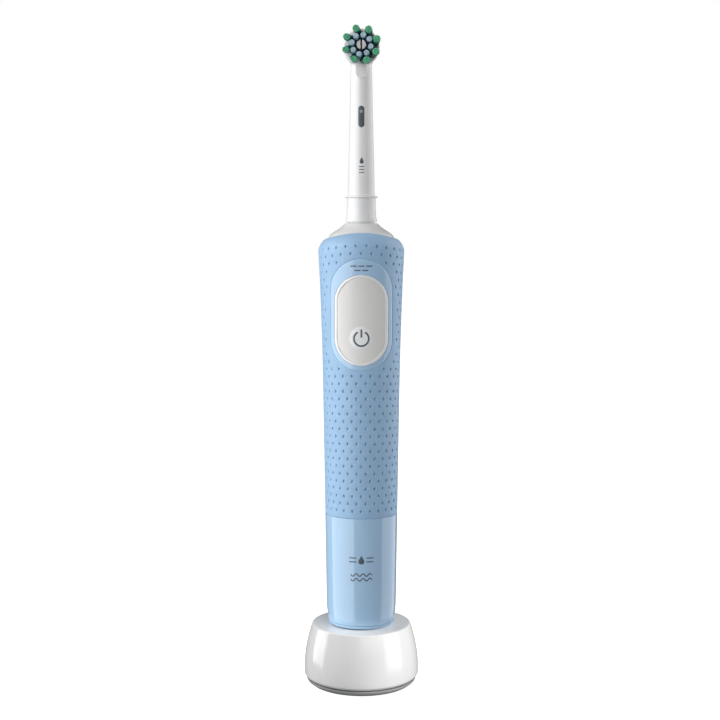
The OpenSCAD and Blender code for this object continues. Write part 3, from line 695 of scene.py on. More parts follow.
def satin_plastic(name, colour, roughness=0.42):
    """Moulded plastic with a fine spark-eroded grain."""
    paint = Paint(name, colour, roughness, IOR=1.5)
    paint.shades(paint.noise(160, 4), 0.03)
    paint.rough(paint.noise(1500, 3), roughness - 0.06, roughness + 0.08)
    return paint.bump(paint.cells(5200), 0.012, 0.45).material


def soft_rubber(name, colour, roughness=0.5, grain=0.02):
    """Soft-touch rubber: matt, with a fine grain and a slight sheen at grazing angles."""
    paint = Paint(name, colour, roughness, IOR=1.45, Sheen_Weight=0.08, Sheen_Roughness=0.5)
    paint.shades(paint.noise(240, 5), 0.03)
    paint.rough(paint.noise(1100, 3), roughness - 0.07, roughness + 0.09)
    return paint.bump(paint.noise(4200, 2), grain, 0.5).material


def pad_rubber(name, colour, halo):
    """The button's soft face, paler on the round boss under the power symbol."""
    paint = Paint(name, colour, 0.38, IOR=1.45, Sheen_Weight=0.08, Sheen_Roughness=0.5)
    centre = paint.nodes.new("ShaderNodeVectorMath")
    centre.operation = "DISTANCE"
    flat = paint.stretched((1, 0, 1))
    paint.links.new(flat, centre.inputs[0])
    centre.inputs[1].default_value = (0, 0, SYMBOL_Z * MM)
    away = paint.span(centre.outputs["Value"], 3.6 * MM, 5.0 * MM, 1, 0)
    paint.tint(away, colour, halo)
    paint.rough(paint.noise(1100, 3), 0.32, 0.46)
    return paint.bump(paint.noise(4200, 2), 0.008, 0.5).material


def ground_metal(name, colour, roughness=0.25):
    """Turned or ground metal with fine marks round the upright axis."""
    paint = Paint(name, colour, roughness, metallic=1.0)
    paint.shades(paint.noise(500, 3), 0.05)
    paint.rough(paint.noise(900, 4, (1, 1, 12)), roughness - 0.08, roughness + 0.12)
    return paint.bump(paint.noise(1600, 2, (0.2, 0.2, 6)), 0.004, 0.5).material


def sintered_metal(name, colour):
    """Porous sintered metal."""
    paint = Paint(name, colour, 0.45, metallic=1.0)
    paint.shades(paint.noise(3000, 4), 0.18)
    paint.rough(paint.noise(2200, 3), 0.35, 0.6)
    return paint.bump(paint.cells(6000), 0.02, 0.6).material


def wound_wire(name, colour):
    """Enamelled wire in close turns, with painted shade in the grooves between the turns."""
    paint = Paint(name, colour, 0.3, metallic=0.85, Coat_Weight=0.5, Coat_Roughness=0.15)
    turns = paint.bands(1100)
    # Painted shade: the colour drops to a third where the relief is lowest, in the grooves between the
    # turns
    paint.tint(turns, tuple(c * 0.35 for c in colour), colour)
    paint.rough(paint.noise(1800, 3), 0.22, 0.4)
    return paint.bump(turns, 0.12, 0.9).material


def circuit_board(name, colour):
    """Solder mask over faint copper tracks."""
    paint = Paint(name, colour, 0.32, IOR=1.5)
    tracks = paint.noise(420, 0)
    paint.tint(paint.span(tracks, 0.52, 0.56, 0, 1), colour, tuple(c * 1.7 for c in colour))
    paint.rough(paint.noise(1400, 2), 0.26, 0.4)
    return paint.bump(paint.span(tracks, 0.5, 0.58, 0, 1), 0.03, 0.5).material


def nylon(name, side, tip, tip_depth, root_depth):
    """Nylon filaments that grow lighter towards their ends, depths being behind the longest tips. The
    darkening towards the roots is partly the nylon's own dye and partly painted shade between the tufts.
    """
    paint = Paint(name, side, 0.35, IOR=1.53)
    # Painted shade: the colour darkens from tip to root, partly the dye's own fade and partly standing in
    # for the shade that falls between the tufts
    ends = paint.span(paint.axis("Y"), (TUFT_TIP_Y + root_depth) * MM, (TUFT_TIP_Y + tip_depth) * MM, 0, 1)
    paint.tint(ends, side, tip)
    paint.rough(paint.noise(2600, 3), 0.28, 0.45)
    return paint.bump(paint.noise(5200, 1), 0.01, 0.4).material


def make_materials():
    """One material for each material slot of the record."""
    return {
        "charger_white": gloss_plastic("charger white", (0.84, 0.84, 0.835), 0.14),
        "base_grey": satin_plastic("base grey", (0.36, 0.365, 0.375), 0.38),
        "ferrite": satin_plastic("ferrite", (0.03, 0.03, 0.033), 0.6),
        "coil_copper": wound_wire("enamelled copper", (0.62, 0.24, 0.09)),
        "inner_white": satin_plastic("inner white", (0.74, 0.74, 0.70)),
        "inner_grey": satin_plastic("inner grey", (0.34, 0.36, 0.38)),
        "board": circuit_board("circuit board", (0.01, 0.085, 0.03)),
        "component_black": satin_plastic("component black", (0.015, 0.015, 0.017), 0.45),
        "can_metal": ground_metal("drawn can", (0.55, 0.56, 0.58), 0.32),
        "shell_blue": gloss_plastic("shell blue", (0.425, 0.635, 0.865), 0.07),
        "grip_blue": soft_rubber("grip blue", (0.355, 0.56, 0.80)),
        "collar_white": gloss_plastic("collar white", (0.84, 0.84, 0.835), 0.18),
        "button_white": gloss_plastic("button white", (0.91, 0.915, 0.92), 0.14),
        "button_grey": pad_rubber("button grey", (0.83, 0.825, 0.815), (0.92, 0.94, 0.95)),
        "mark_grey": satin_plastic("mark grey", (0.10, 0.12, 0.145), 0.4),
        "seal_rubber": soft_rubber("seal rubber", (0.012, 0.012, 0.013), 0.55),
        "steel": ground_metal("ground steel", (0.62, 0.63, 0.65), 0.22),
        "bronze": sintered_metal("sintered bronze", (0.45, 0.27, 0.10)),
        "cell_wrap": gloss_plastic("cell wrap", (0.02, 0.13, 0.05), 0.22),
        "gear_plastic": satin_plastic("acetal", (0.78, 0.78, 0.72), 0.34),
        "head_white": gloss_plastic("head white", (0.88, 0.88, 0.885), 0.15),
        # The tufts' first colours, at their roots, are partly painted shade between the tufts
        "tuft_green": nylon("green nylon", (0.015, 0.13, 0.09), (0.18, 0.68, 0.40), 0, 3),
        "tuft_blue": nylon("blue nylon", (0.03, 0.17, 0.34), (0.72, 0.92, 1.0), 0.5, 3.5),
        "tuft_white": nylon("white nylon", (0.84, 0.87, 0.92), (0.97, 0.97, 0.98), 0.9, 4),
    }


def finish_piece(obj, body, slot, *nodes):
    """Paints a new piece, lets it ride on a body and hides the CAD nodes it stands for."""
    obj.data.materials.clear()
    obj.data.materials.append(materials[slot])
    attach(obj, body)
    (charger_side if body == "charger" else handle_side).objects.link(obj)
    if nodes:
        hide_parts(*nodes)
    return obj


def make_piece(name, mesh, body, slot, *nodes, **shading):
    """A finished piece from its points and faces."""
    return finish_piece(make_object(name, *mesh, **shading), body, slot, *nodes)


# ---------------------------------------------------------------------------
# Charger
# ---------------------------------------------------------------------------


def make_charger_housing():
    """The white housing: a swelling side, a flat top and the charging peg, with a hole for the gland."""
    edge_z = CHARGER_LOW_Z + 0.3
    under_z = CHARGER_TOP_Z - CHARGER_WALL
    heights = np.linspace(edge_z + 1.0, CHARGER_TOP_Z - 1.3, 14)
    inner = np.linspace(under_z - 1.5, BELLY_Z, 6)
    bore = PEG_R - PEG_WALL
    profile = fillet(
        [(CHARGER_RIM_R, edge_z, 0.2), (charger_r(edge_z) - 0.5, edge_z, 0.5),
         (charger_r(edge_z + 0.9), edge_z + 0.9, 0.4)]
        + [(charger_r(z), z, 0) for z in heights]
        + [(CHARGER_TOP_R + 0.05, CHARGER_TOP_Z, 0.75), (PEG_R + 0.8, CHARGER_TOP_Z, 0.2),
           (PEG_R, CHARGER_TOP_Z + 0.8, 0.4), (PEG_R - 0.05, PEG_TOP_Z, 1.4),
           (0, PEG_TOP_Z, 0), (0, PEG_TOP_Z - PEG_WALL, 0), (bore, PEG_TOP_Z - PEG_WALL, 0.5),
           (bore, under_z, 0.4), (CHARGER_TOP_R - 1.6, under_z, 0.6)]
        + [(charger_r(z) - CHARGER_WALL, z, 0) for z in inner]
        + [(CHARGER_RIM_R, BELLY_Z - 0.2, 0)])
    housing = make_object("charger_body", *lathe(profile, segments=192))
    front_y, back_y = 15, 30
    drill = [(0, front_y), (GLAND_R, front_y), (GLAND_R, back_y), (0, back_y)]
    boolean(housing, make_object("hole", *lathe(drill, about_level(INLET_Z), 64)))
    finish_piece(housing, "charger", "charger_white", "charger_housing")


def make_charger_base():
    """The grey base plate: a rounded foot, the rim that the housing fits round, and posts for the board."""
    rim_r, rim_top_z, wall = CHARGER_R - 2.35, 4, 1.2
    floor_z = 1.6
    profile = fillet(
        [(0, 0, 0), (BASE_R - 4.3, 0, 0.6), (BASE_R - 1.9, 0.55, 1.2), (BASE_R - 0.5, 1.6, 1.0),
         (BASE_R, PARTING_Z, 0.25), (rim_r, PARTING_Z, 0.15), (rim_r, rim_top_z, 0.3),
         (rim_r - wall, rim_top_z, 0.3), (rim_r - wall, floor_z, 0.4), (0, floor_z, 0)])
    foot = make_object("charger_foot", *lathe(profile, segments=192))
    post_r, post_low_z, post_z = 1.6, 1.2, low("charger_board").z
    post_circle_r = 14
    post = fillet([(0, post_low_z, 0), (post_r, post_low_z, 0), (post_r, post_z, 0.2), (0, post_z, 0)])
    posts = []
    for degrees in (30, 150, 270):
        turn = math.radians(degrees)
        points, faces = lathe(post, segments=32)
        posts.append((points + [post_circle_r * math.cos(turn), post_circle_r * math.sin(turn), 0], faces))
    boolean(foot, make_object("posts", *join(*posts)), "UNION")
    finish_piece(foot, "charger", "base_grey", "charger_base_plate")


def make_cord_gland():
    """The round cord inlet in the charger's rear wall."""
    front, back = high("cord_gland").y, low("cord_gland").y
    flange_r = high("cord_gland").x
    profile = fillet(
        [(INLET_R, front, 0.35), (GLAND_R, front, 0.3), (GLAND_R, back + 0.7, 0),
         (flange_r, back + 0.7, 0.2), (flange_r, back, 0.2), (INLET_R, back, 0.2)])
    mesh = lathe(profile, about_level(INLET_Z), 64)
    make_piece("cord_inlet", mesh, "charger", "charger_white", "cord_gland")


# ---------------------------------------------------------------------------
# Handle
# ---------------------------------------------------------------------------


def make_bottom_cap():
    """The cap that closes the handle, with the recess that fits over the charging peg."""
    recess_r = PEG_R + 0.5
    recess_z = PEG_TOP_Z + 0.9
    cup_r = recess_r + 1.2
    cup_z = high("bottom_cap").z
    lip_z = TUBE_Z - 0.12
    floor_z = HANDLE_Z + 1.8
    plug_r = TUBE_LOW_R - 0.15
    plug_z = HANDLE_Z + 6.8
    groove_r = plug_r - 1.35
    groove_low_z = middle("bottom_seal_ring").z - 0.75
    groove_top_z = groove_low_z + 1.5
    profile = fillet(
        [(recess_r, HANDLE_Z, 0.45), (outer_r(HANDLE_Z), HANDLE_Z, 1.9), (outer_r(lip_z), lip_z, 0.1),
         (plug_r, lip_z, 0), (plug_r, groove_low_z, 0.1), (groove_r, groove_low_z, 0.1),
         (groove_r, groove_top_z, 0.1), (plug_r, groove_top_z, 0.1), (plug_r, plug_z, 0.3),
         (plug_r - 2, plug_z, 0.3), (plug_r - 2, floor_z, 0.3), (cup_r, floor_z, 0.3), (cup_r, cup_z, 0.6),
         (0, cup_z, 0), (0, recess_z, 0), (recess_r, recess_z, 0.8)])
    make_piece("handle_cap", lathe(profile), "handle", "shell_blue", "bottom_cap")


def make_housing_tube():
    """The shell: glossy where it shows below the grip, and stepped in where the grip is moulded over it."""
    shown = np.linspace(TUBE_Z + 0.5, GRIP_Z - 0.5, 10)
    under = np.linspace(GRIP_Z + 1, BEND_Z - 4, 16)
    step_z = GRIP_Z - 0.05
    lip_r, mouth_r = 12.75, 11.7
    lip_z = BEND_Z + 1.3
    seat_z = HANDLE_Z + 16.8
    profile = fillet(
        [(TUBE_LOW_R, TUBE_Z, 0.2), (outer_r(TUBE_Z), TUBE_Z, 0.1)]
        + [(outer_r(z), z, 0) for z in shown]
        + [(outer_r(GRIP_Z), step_z, 0.12), (outer_r(GRIP_Z) - GRIP_T, step_z, 0)]
        + [(outer_r(z) - GRIP_T, z, 0) for z in under]
        + [(outer_r(BEND_Z) - GRIP_T - 0.9, BEND_Z - 1.5, 1.5), (lip_r, lip_z, 0.4), (mouth_r, lip_z, 0.2),
           (mouth_r, BEND_Z - 1, 0), (outer_r(BEND_Z) - 3.6, BEND_Z - 4, 0)]
        + [(outer_r(z) - GRIP_T - TUBE_WALL, z, 0) for z in under[::-1][2:]]
        + [(outer_r(seat_z + 3) - 1.7, seat_z + 3, 0.3), (TUBE_LOW_R, seat_z, 0.3)])
    tube = make_object("handle_shell", *lathe(profile))
    opening = slot_outline(BUTTON_W + 0.4, BUTTON_H + 0.4, BUTTON_Z)
    boolean(tube, make_object("window", *plate([(opening, [(0, 20)])], straight, 6, 4)))
    finish_piece(tube, "handle", "shell_blue", "housing_tube")


def grip_surface(theta, w, depth):
    """Points of the grip, theta round from the front and w up. Rows of equal w dip at the sides."""
    side = np.sin(theta) ** 2
    dip = SIDE_DIP * (w - GRIP_Z) / (RIM_Z - GRIP_Z)
    z = w - dip * side
    edge_z = RIM_Z - SIDE_DIP * side
    bend_z = BEND_Z - SIDE_DIP * (BEND_Z - GRIP_Z) / (RIM_Z - GRIP_Z) * side
    rise = np.clip((w - BEND_Z) / (RIM_Z - BEND_Z), 0, 1)
    level = (1 - rise**SHOULDER_POWER) ** (1 / SHOULDER_POWER)
    tip_r = dome_r(edge_z) + LIP
    r = np.where(w <= BEND_Z, outer_r(z), tip_r + (outer_r(bend_z) - tip_r) * level)
    lean = np.where(w <= BEND_Z, 1, level)
    r = r + depth * lean
    z = z + depth * np.sqrt(1 - lean**2)
    return np.stack([r * np.sin(theta), -r * np.cos(theta), z], -1)


def grip_place(x, z):
    """(theta, w) of the grip's surface at a point seen from the front."""
    side = (x / outer_r(z)) ** 2
    slope = SIDE_DIP / (RIM_Z - GRIP_Z)
    return np.arcsin(x / outer_r(z)), (z - GRIP_Z * slope * side) / (1 - slope * side)


# The grip is laid out flat, theta times GRIP_SCALE across and w up, and closes at a seam near the back
GRIP_SCALE = 15.0
PITCH = TURN / DIMPLES_ROUND
SEAM = math.pi - PITCH / 4
GRIP_COLUMNS = 4 * DIMPLES_ROUND
GRIP_TURNS = SEAM - TURN + np.arange(GRIP_COLUMNS + 1) / GRIP_COLUMNS * TURN


def dimple_centres():
    """(theta, w) of every dimple, apart from those on the smooth panel."""
    panel = slot_outline(BEZEL_W + 2.4, BEZEL_H + 2.6, BEZEL_Z)(0)
    centres = []
    for row in range(DIMPLE_ROWS):
        w = DIMPLE_TOP_Z - row * DIMPLE_ROW_STEP
        offset = 0.5 if row % 2 == 0 else 0.0
        for k in range(DIMPLES_ROUND):
            theta = (k + offset) * PITCH
            theta = theta if theta < SEAM else theta - TURN
            if abs(theta) < math.pi / 2:
                x, _, z = grip_surface(np.array(theta), np.array(w), 0.0)
                if inside(panel, np.array([[x, z]]))[0]:
                    continue
            centres.append((theta, w))
    return np.array(centres)


def dimple_rings(centres):
    """(theta, w, depth) of the rings of points that make the dimples, from their brims to their floors."""
    turn = np.arange(12) * TURN / 12
    for share, sink in ((1.35, 0.0), (1.08, 0.06), (0.9, 0.45), (0.62, 0.85), (0.3, 0.98)):
        theta = centres[:, 0:1] + share * DIMPLE_W / GRIP_SCALE * np.cos(turn)
        w = centres[:, 1:2] + share * DIMPLE_H * np.sin(turn)
        yield theta.ravel(), w.ravel(), -sink * DIMPLE_DEPTH
    yield centres[:, 0], centres[:, 1], -DIMPLE_DEPTH


def grip_field(rows, panel, dimples, spacing):
    """Staggered points over the flat grip, clear of its edges, its rows, its panel and its dimples."""
    left = SEAM - TURN
    margin = 0.02
    field = lattice((left * GRIP_SCALE, rows[0]), (TURN * GRIP_SCALE, rows[-1] - rows[0]), spacing)
    across, w = field.T
    kept = (across > (left + margin) * GRIP_SCALE) & (across < (SEAM - margin) * GRIP_SCALE)
    kept &= (w > rows[0]) & (w < rows[-1])
    kept &= np.abs(w[:, None] - np.array(rows)).min(1) > 0.5 * spacing
    field = field[kept & ~inside(panel, field)]
    field = field[far_from(field, panel, 0.6 * spacing)]
    if dimples is None:
        return field
    size = np.array([DIMPLE_W, DIMPLE_H])
    return field[far_from(field / size, dimples * [GRIP_SCALE, 1] / size, 1.9)]


def grip_patch(rows, hole, depth, dimples=None, spacing=0.9):
    """One skin of the grip: points, faces, and the runs of its lower edge, upper edge and panel hole.

    rows are the heights that keep a line of points, and hole holds (outline, depth) rings round the panel.
    """
    flat, depths = [], []

    def add(theta, w, at_depth):
        theta, w = np.broadcast_arrays(theta, w)
        flat.append(np.stack([theta * GRIP_SCALE, w], -1))
        depths.append(np.full(len(theta), at_depth))

    for row in rows:
        add(GRIP_TURNS, row, depth)
    seam = np.arange(rows[0], rows[-1], spacing)
    seam = seam[np.abs(seam[:, None] - np.array(rows)).min(1) > 0.4 * spacing]
    for side in (SEAM - TURN, SEAM):
        add(side, seam, depth)
    loops = []
    for ring, ring_depth in hole:
        start = sum(len(part) for part in flat)
        loops.append(list(range(start, start + len(ring))))
        add(*grip_place(ring[:, 0], ring[:, 1]), ring_depth)
    edge, panel = flat[-len(hole)], flat[-1]
    if dimples is not None:
        for theta, w, sink in dimple_rings(dimples):
            add(theta, w, depth + sink)
    field = grip_field(rows, panel, dimples, spacing)
    add(field[:, 0] / GRIP_SCALE, field[:, 1], depth)
    points = np.vstack(flat)
    faces = triangulate(points, loops, lambda centres: ~inside(edge, centres))
    placed = grip_surface(points[:, 0] / GRIP_SCALE, points[:, 1], np.concatenate(depths))
    count = len(GRIP_TURNS)
    foot = placed[:count]
    top = placed[(len(rows) - 1) * count : len(rows) * count]
    return placed, faces, foot, top, placed[loops[0]]


def bridge(*loops, closed=True):
    """Points and faces between loops of equal length."""
    points = np.vstack(loops)
    count = len(loops[0])
    faces = []
    for k in range(len(loops) - 1):
        for i in range(count if closed else count - 1):
            j = (i + 1) % count
            faces.append((k * count + i, k * count + j, (k + 1) * count + j, (k + 1) * count + i))
    return points, faces


def grip_foot_ring(inset, z):
    """A run of points round the grip's lower edge."""
    r = outer_r(GRIP_Z) - inset
    return about_z(r, GRIP_TURNS - math.pi / 2, z)


def grip_lip_ring(inward, drop):
    """A run of points round the grip's upper edge, which dips at the sides."""
    edge_z = RIM_Z - SIDE_DIP * np.sin(GRIP_TURNS) ** 2
    return about_z(dome_r(edge_z) + LIP - inward, GRIP_TURNS - math.pi / 2, edge_z - drop)


def make_soft_grip():
    """The moulded-over grip: dimpled, with a rolled top edge, and open round the smooth panel."""
    panel = slot_outline(BEZEL_W, BEZEL_H, BEZEL_Z)
    shoulder = BEND_Z + (RIM_Z - BEND_Z) * np.sin(np.linspace(0, math.pi / 2, 12))
    rows = [GRIP_Z + 0.35, GRIP_Z + 0.7, *shoulder]
    edge = [(panel(-inset), depth) for inset, depth in rounded(0, 0.16, 3)]
    outer, outer_faces, foot, top, opening = grip_patch(rows, edge, 0.0, dimple_centres())
    inner_rows = [GRIP_Z + 0.35, GRIP_Z + 20, GRIP_Z + 50, *shoulder[:-3:2], RIM_Z - 0.15]
    inner, inner_faces, inner_foot, inner_top, inner_opening = grip_patch(
        inner_rows, [(panel(0), -GRIP_T)], -GRIP_T, spacing=2.5)
    foot_wall = bridge(foot, grip_foot_ring(0.04, GRIP_Z + 0.12), grip_foot_ring(0.15, GRIP_Z),
                       grip_foot_ring(GRIP_T, GRIP_Z), inner_foot, closed=False)
    roll = 0.4
    turns = np.linspace(0.3, math.pi / 2, 5)
    lip = [grip_lip_ring(roll * math.sin(t), roll * (1 - math.cos(t))) for t in turns]
    top_wall = bridge(top, *lip, grip_lip_ring(roll, 0.7), inner_top, closed=False)
    window_wall = bridge(opening, inner_opening)
    mesh = join((outer, outer_faces), (inner, inner_faces), foot_wall, top_wall, window_wall)
    make_piece("dimpled_grip", mesh, "handle", "grip_blue", "soft_grip", sharp=50)


def smooth_dome(z):
    """The dome's radius at height z, with the corners between its slopes eased."""
    reach = 0.8
    heights = z + np.linspace(-reach, reach, 9)
    return dome_r(np.clip(heights, RIM_Z - 1.6, COLLAR_TOP_Z)).mean()


def make_top_collar():
    """The white dome that carries the shaft sleeve and closes the handle."""
    dome = np.linspace(RIM_Z - 1.6, COLLAR_TOP_Z - 0.25, 18)
    seat_z = low("shaft_sleeve").z + 1.2
    bore_r = SLEEVE_R + 0.02
    skirt_r = 11.6
    ledge_z = TUBE_TOP_Z + 0.05
    boss_z = COLLAR_LOW_Z + 1
    roof_z = TUBE_TOP_Z + 2.2
    profile = fillet(
        [(skirt_r, COLLAR_LOW_Z, 0.3), (skirt_r, ledge_z, 0), (COLLAR_R, ledge_z, 0.1)]
        + [(smooth_dome(z), z, 0) for z in dome]
        + [(6.0, COLLAR_TOP_Z, 0.3), (bore_r, COLLAR_TOP_Z, 0.25), (bore_r, seat_z, 0),
           (5, seat_z, 0), (5, boss_z, 0.3), (6.4, boss_z, 0.3), (6.4, roof_z, 0.8), (8.6, roof_z, 0.8),
           (skirt_r - 1.4, TUBE_TOP_Z + 0.6, 0.8), (skirt_r - 1.4, COLLAR_LOW_Z, 0.3)])
    make_piece("white_dome", lathe(profile), "handle", "collar_white", "top_collar")


def make_button_bezel():
    """The smooth panel round the button."""
    outer = slot_outline(BEZEL_W + 0.02, BEZEL_H + 0.02, BEZEL_Z)
    opening = slot_outline(BUTTON_W + 2 * BUTTON_GAP, BUTTON_H + 2 * BUTTON_GAP, BUTTON_Z)
    bead = [(inset + 0.02, depth) for inset, depth in rounded(PANEL_RISE, 0.5, 6)[2:]]
    rims = [(outer, [(0, -0.3), (0.02, -0.1), *bead]), (opening, rounded(PANEL_RISE, 0.12))]
    mesh = plate(rims, on_handle, -GRIP_T + 0.02, 0.8)
    make_piece("button_panel", mesh, "handle", "shell_blue", "button_bezel")


def stroke(path, half_width, top, bottom, surface):
    """A raised or printed line on a surface."""
    edge = rounded(top, min(0.1, half_width * 0.5), 2)
    return plate([(stroke_outline(path, half_width), edge)], surface, bottom, 0.5)


def line_path(x0, z0, x1, z1, count=6):
    """A straight path."""
    return np.stack([np.linspace(x0, x1, count), np.linspace(z0, z1, count)], -1)


def bar(x0, x1, z, half_width, surface, rise=PRINT_RISE, base=0.0):
    """A level printed line, base being how far the surface stands out under it."""
    return stroke(line_path(x0, z, x1, z), half_width, base + rise, base - PRINT_ROOT, surface)


def make_panel_dashes():
    """Two short rows of printed dashes above the button."""
    dashes = [bar(x, x + length, BEZEL_Z + lift, 0.27, on_handle, base=PANEL_RISE)
              for x, lift, length in ((-3.9, 18.3, 2.0), (-0.9, 18.3, 1.8), (1.9, 18.3, 2.0),
                                      (-2.4, 16.7, 1.9), (0.5, 16.7, 1.9))]
    make_piece("panel_dashes", join(*dashes), "handle", "mark_grey")


def make_handle_marks():
    """A drop with bars at its sides and two waves below it, printed low on the shell."""
    half_width = 0.26
    drop_z = GRIP_Z - 15.75
    waves_z = drop_z - 6.7
    outline = drop_outline(2.5, 3.4, 0, drop_z)
    drop = plate([(outline, rounded(PRINT_RISE, 0.05, 2))], on_handle, -PRINT_ROOT, 0.5)
    bars = [bar(side * 2.1, side * 4.4, drop_z + lift, half_width, on_handle)
            for side in (-1, 1) for lift in (0.75, -0.75)]
    make_piece("handle_drop_mark", join(drop, *bars), "handle", "mark_grey")
    x = np.linspace(-3.9, 3.9, 41)
    waves = []
    for lift in (0.9, -0.9):
        path = np.stack([x, waves_z + lift + 0.5 * np.sin(x * TURN / 2.6)], -1)
        waves.append(stroke(path, half_width, PRINT_RISE, -PRINT_ROOT, on_handle))
    make_piece("handle_wave_mark", join(*waves), "handle", "mark_grey")


# ---------------------------------------------------------------------------
# Power button
# ---------------------------------------------------------------------------


def make_power_button():
    """The white button body with its rim, and the stem that reaches almost to the switch."""
    outline = slot_outline(BUTTON_W, BUTTON_H, BUTTON_Z)
    rim = rounded(0.32, 0.36, 6)
    rim += [(RIM_W - 0.36, 0.32), (RIM_W - 0.16, 0.26), (RIM_W - 0.04, 0.16), (RIM_W, 0.0),
            (RIM_W + 0.02, -0.95)]
    body = make_object("button_body", *plate([(outline, rim)], on_handle, -1.5, 0.9))
    stem_r = 1.4
    stem_z = middle("button_switch").z
    front_y = 1.2 - outer_r(stem_z)
    back_y = low("button_switch").y - 0.65
    profile = fillet([(0, front_y, 0), (stem_r, front_y, 0), (stem_r, back_y, 0.2), (0, back_y, 0)])
    boolean(body, make_object("stem", *lathe(profile, about_level(stem_z), 48)), "UNION")
    finish_piece(body, "power_button", "button_white", "power_button")


def pad_crown(x, z):
    """The pad is slightly hollow, with a low round boss under the power symbol."""
    hollow = -0.5 * np.clip(1 - (x / 8.6) ** 2, 0, 1) * np.clip(1 - ((z - BUTTON_Z) / 15.6) ** 4, 0, 1)
    away = np.hypot(x, z - SYMBOL_Z)
    boss = 0.2 * np.clip((4.5 - away) / 0.7, 0, 1) ** 2
    return hollow + boss


def make_button_pad():
    """The grey pad that is set into the button."""
    outline = slot_outline(BUTTON_W - 2 * RIM_W + 0.02, BUTTON_H - 2 * RIM_W + 0.02, BUTTON_Z)
    mesh = plate([(outline, [(0, 0.04), (0.1, 0.1), (0.3, PAD_RISE)])], on_handle, -0.93, 0.4, pad_crown)
    make_piece("button_face", mesh, "power_button", "button_grey", "button_pad")


def make_power_symbol():
    """A broken ring with a bar in its gap."""
    ring_r, half_width = 2.76, 0.36
    angles = np.radians(np.linspace(125, 415, 60))
    ring = np.stack([ring_r * np.cos(angles), SYMBOL_Z + ring_r * np.sin(angles)], -1)
    upright = line_path(0, SYMBOL_Z + 0.7, 0, SYMBOL_Z + 3.2)

    def on_pad(x, z, depth):
        return on_handle(x, z, depth + PAD_RISE + pad_crown(x, z))

    parts = [stroke(path, half_width, 0.03, -0.15, on_pad) for path in (ring, upright)]
    make_piece("power_mark", join(*parts), "power_button", "mark_grey", "power_symbol")


# ---------------------------------------------------------------------------
# Brush head
# ---------------------------------------------------------------------------


def meld(a, b, ease):
    """The union of two distance fields with an eased joint."""
    share = np.clip(0.5 + 0.5 * (b - a) / ease, 0, 1)
    return b * (1 - share) + a * share - ease * share * (1 - share)


def trim(a, b, ease):
    """What two distance fields share, with an eased edge."""
    return -meld(-a, -b, ease)


def neck_field(x, y, z):
    """Signed distance to the neck's skin: a tapering tube that melts into the round head, with a tongue."""
    tube = trim(np.hypot(x, y) - neck_r(z), z - (DISC_Z - 1.5), 3.0)
    disc = trim(np.hypot(x, z - DISC_Z) - HEAD_R, y - HEAD_BACK_Y, 3.2)
    disc = trim(disc, HEAD_FRONT_Y - y, 0.5)
    body = meld(tube, disc, 0.9)
    tongue_r, tongue_z = 2.2, DISC_Z - 9.0
    tongue_front_y = HEAD_FRONT_Y - 0.22
    reach = np.hypot(x, np.minimum(z - tongue_z, 0)) - tongue_r
    tongue = trim(trim(reach, tongue_front_y - y, 0.2), y, 0.2)
    tongue = trim(tongue, z - DISC_Z, 0.3)
    return meld(body, tongue, 0.3)


def neck_levels():
    """Heights of the rings of points on the neck, closest where its outline turns."""
    rises = [0, 0.06, 0.12, 0.18, 0.3, 0.44, 0.5, 0.55, 0.6, 0.62, 0.66, 0.72, 0.9, 1.3]
    flange = FLANGE_Z + np.array(rises)
    taper = np.arange(FLANGE_Z + 2.3, DISC_Z - 12.5, 1.2)
    tongue = np.arange(DISC_Z - 12.3, DISC_Z - 7.6, 0.12)
    disc = np.arange(DISC_Z - 7.4, DISC_Z, 0.3)
    crown = DISC_Z + (HEAD_R - 0.03) * np.sin(np.linspace(0, math.pi / 2, 26))
    return np.unique(np.round(np.concatenate([flange, taper, tongue, disc, crown]), 4))


def neck_skin():
    """Points and faces of the neck's skin, each point found along its own ray by halving."""
    segments = 144
    centre_y = -0.3
    turn = np.arange(segments) * TURN / segments
    z = np.repeat(neck_levels()[:, None], segments, 1)
    inner, outer = np.zeros(z.shape), np.full(z.shape, 9.0)
    for _ in range(34):
        r = (inner + outer) / 2
        solid = neck_field(r * np.cos(turn), centre_y + r * np.sin(turn), z) < 0
        inner, outer = np.where(solid, r, inner), np.where(solid, outer, r)
    points, faces = bridge(*(about_z(inner, turn, z) + [0, centre_y, 0]))
    foot, peak, last = len(points), len(points) + 1, len(points) - segments
    ends = [[0, centre_y, FLANGE_Z], [0, centre_y, DISC_Z + HEAD_R - 0.01]]
    for i in range(segments):
        j = (i + 1) % segments
        faces += [(foot, j, i), (peak, last + i, last + j)]
    return np.vstack([points, ends]), faces


def make_brush_neck():
    """The neck and head of the brush, hollow for the drive rod and with a pocket for the bristle disc."""
    neck = make_object("head_neck", *neck_skin())
    low_z, roof_z = FLANGE_Z - 1, DISC_Z - 2.7
    socket_r, socket_z = 3.4, high("head_drive_rod").z - 39.2
    rod_r = 2.3
    bore = lathe([(0, low_z), (socket_r, low_z), (socket_r, socket_z), (rod_r, socket_z + 1),
                  (rod_r, roof_z), (0, roof_z)], segments=64)
    pocket_r, pocket_y = 5.5, -1.6
    pin_r, pin_y = 0.9, 1.6
    outline = [(0, -8), (pocket_r, -8), (pocket_r, pocket_y), (pin_r, pocket_y), (pin_r, pin_y), (0, pin_y)]
    pocket = lathe(outline, about_level(DISC_Z), 110)
    slot = plate([(slot_outline(2.34, 8.04, MARK_Z, 0.2), [(0, 2)])], on_neck, -0.5, 2)
    for name, mesh in (("bore", bore), ("pocket", pocket), ("slot", slot)):
        boolean(neck, make_object(name, *mesh))
    smooth(neck.data, 40)
    finish_piece(neck, "brush_head", "head_white", "brush_neck")


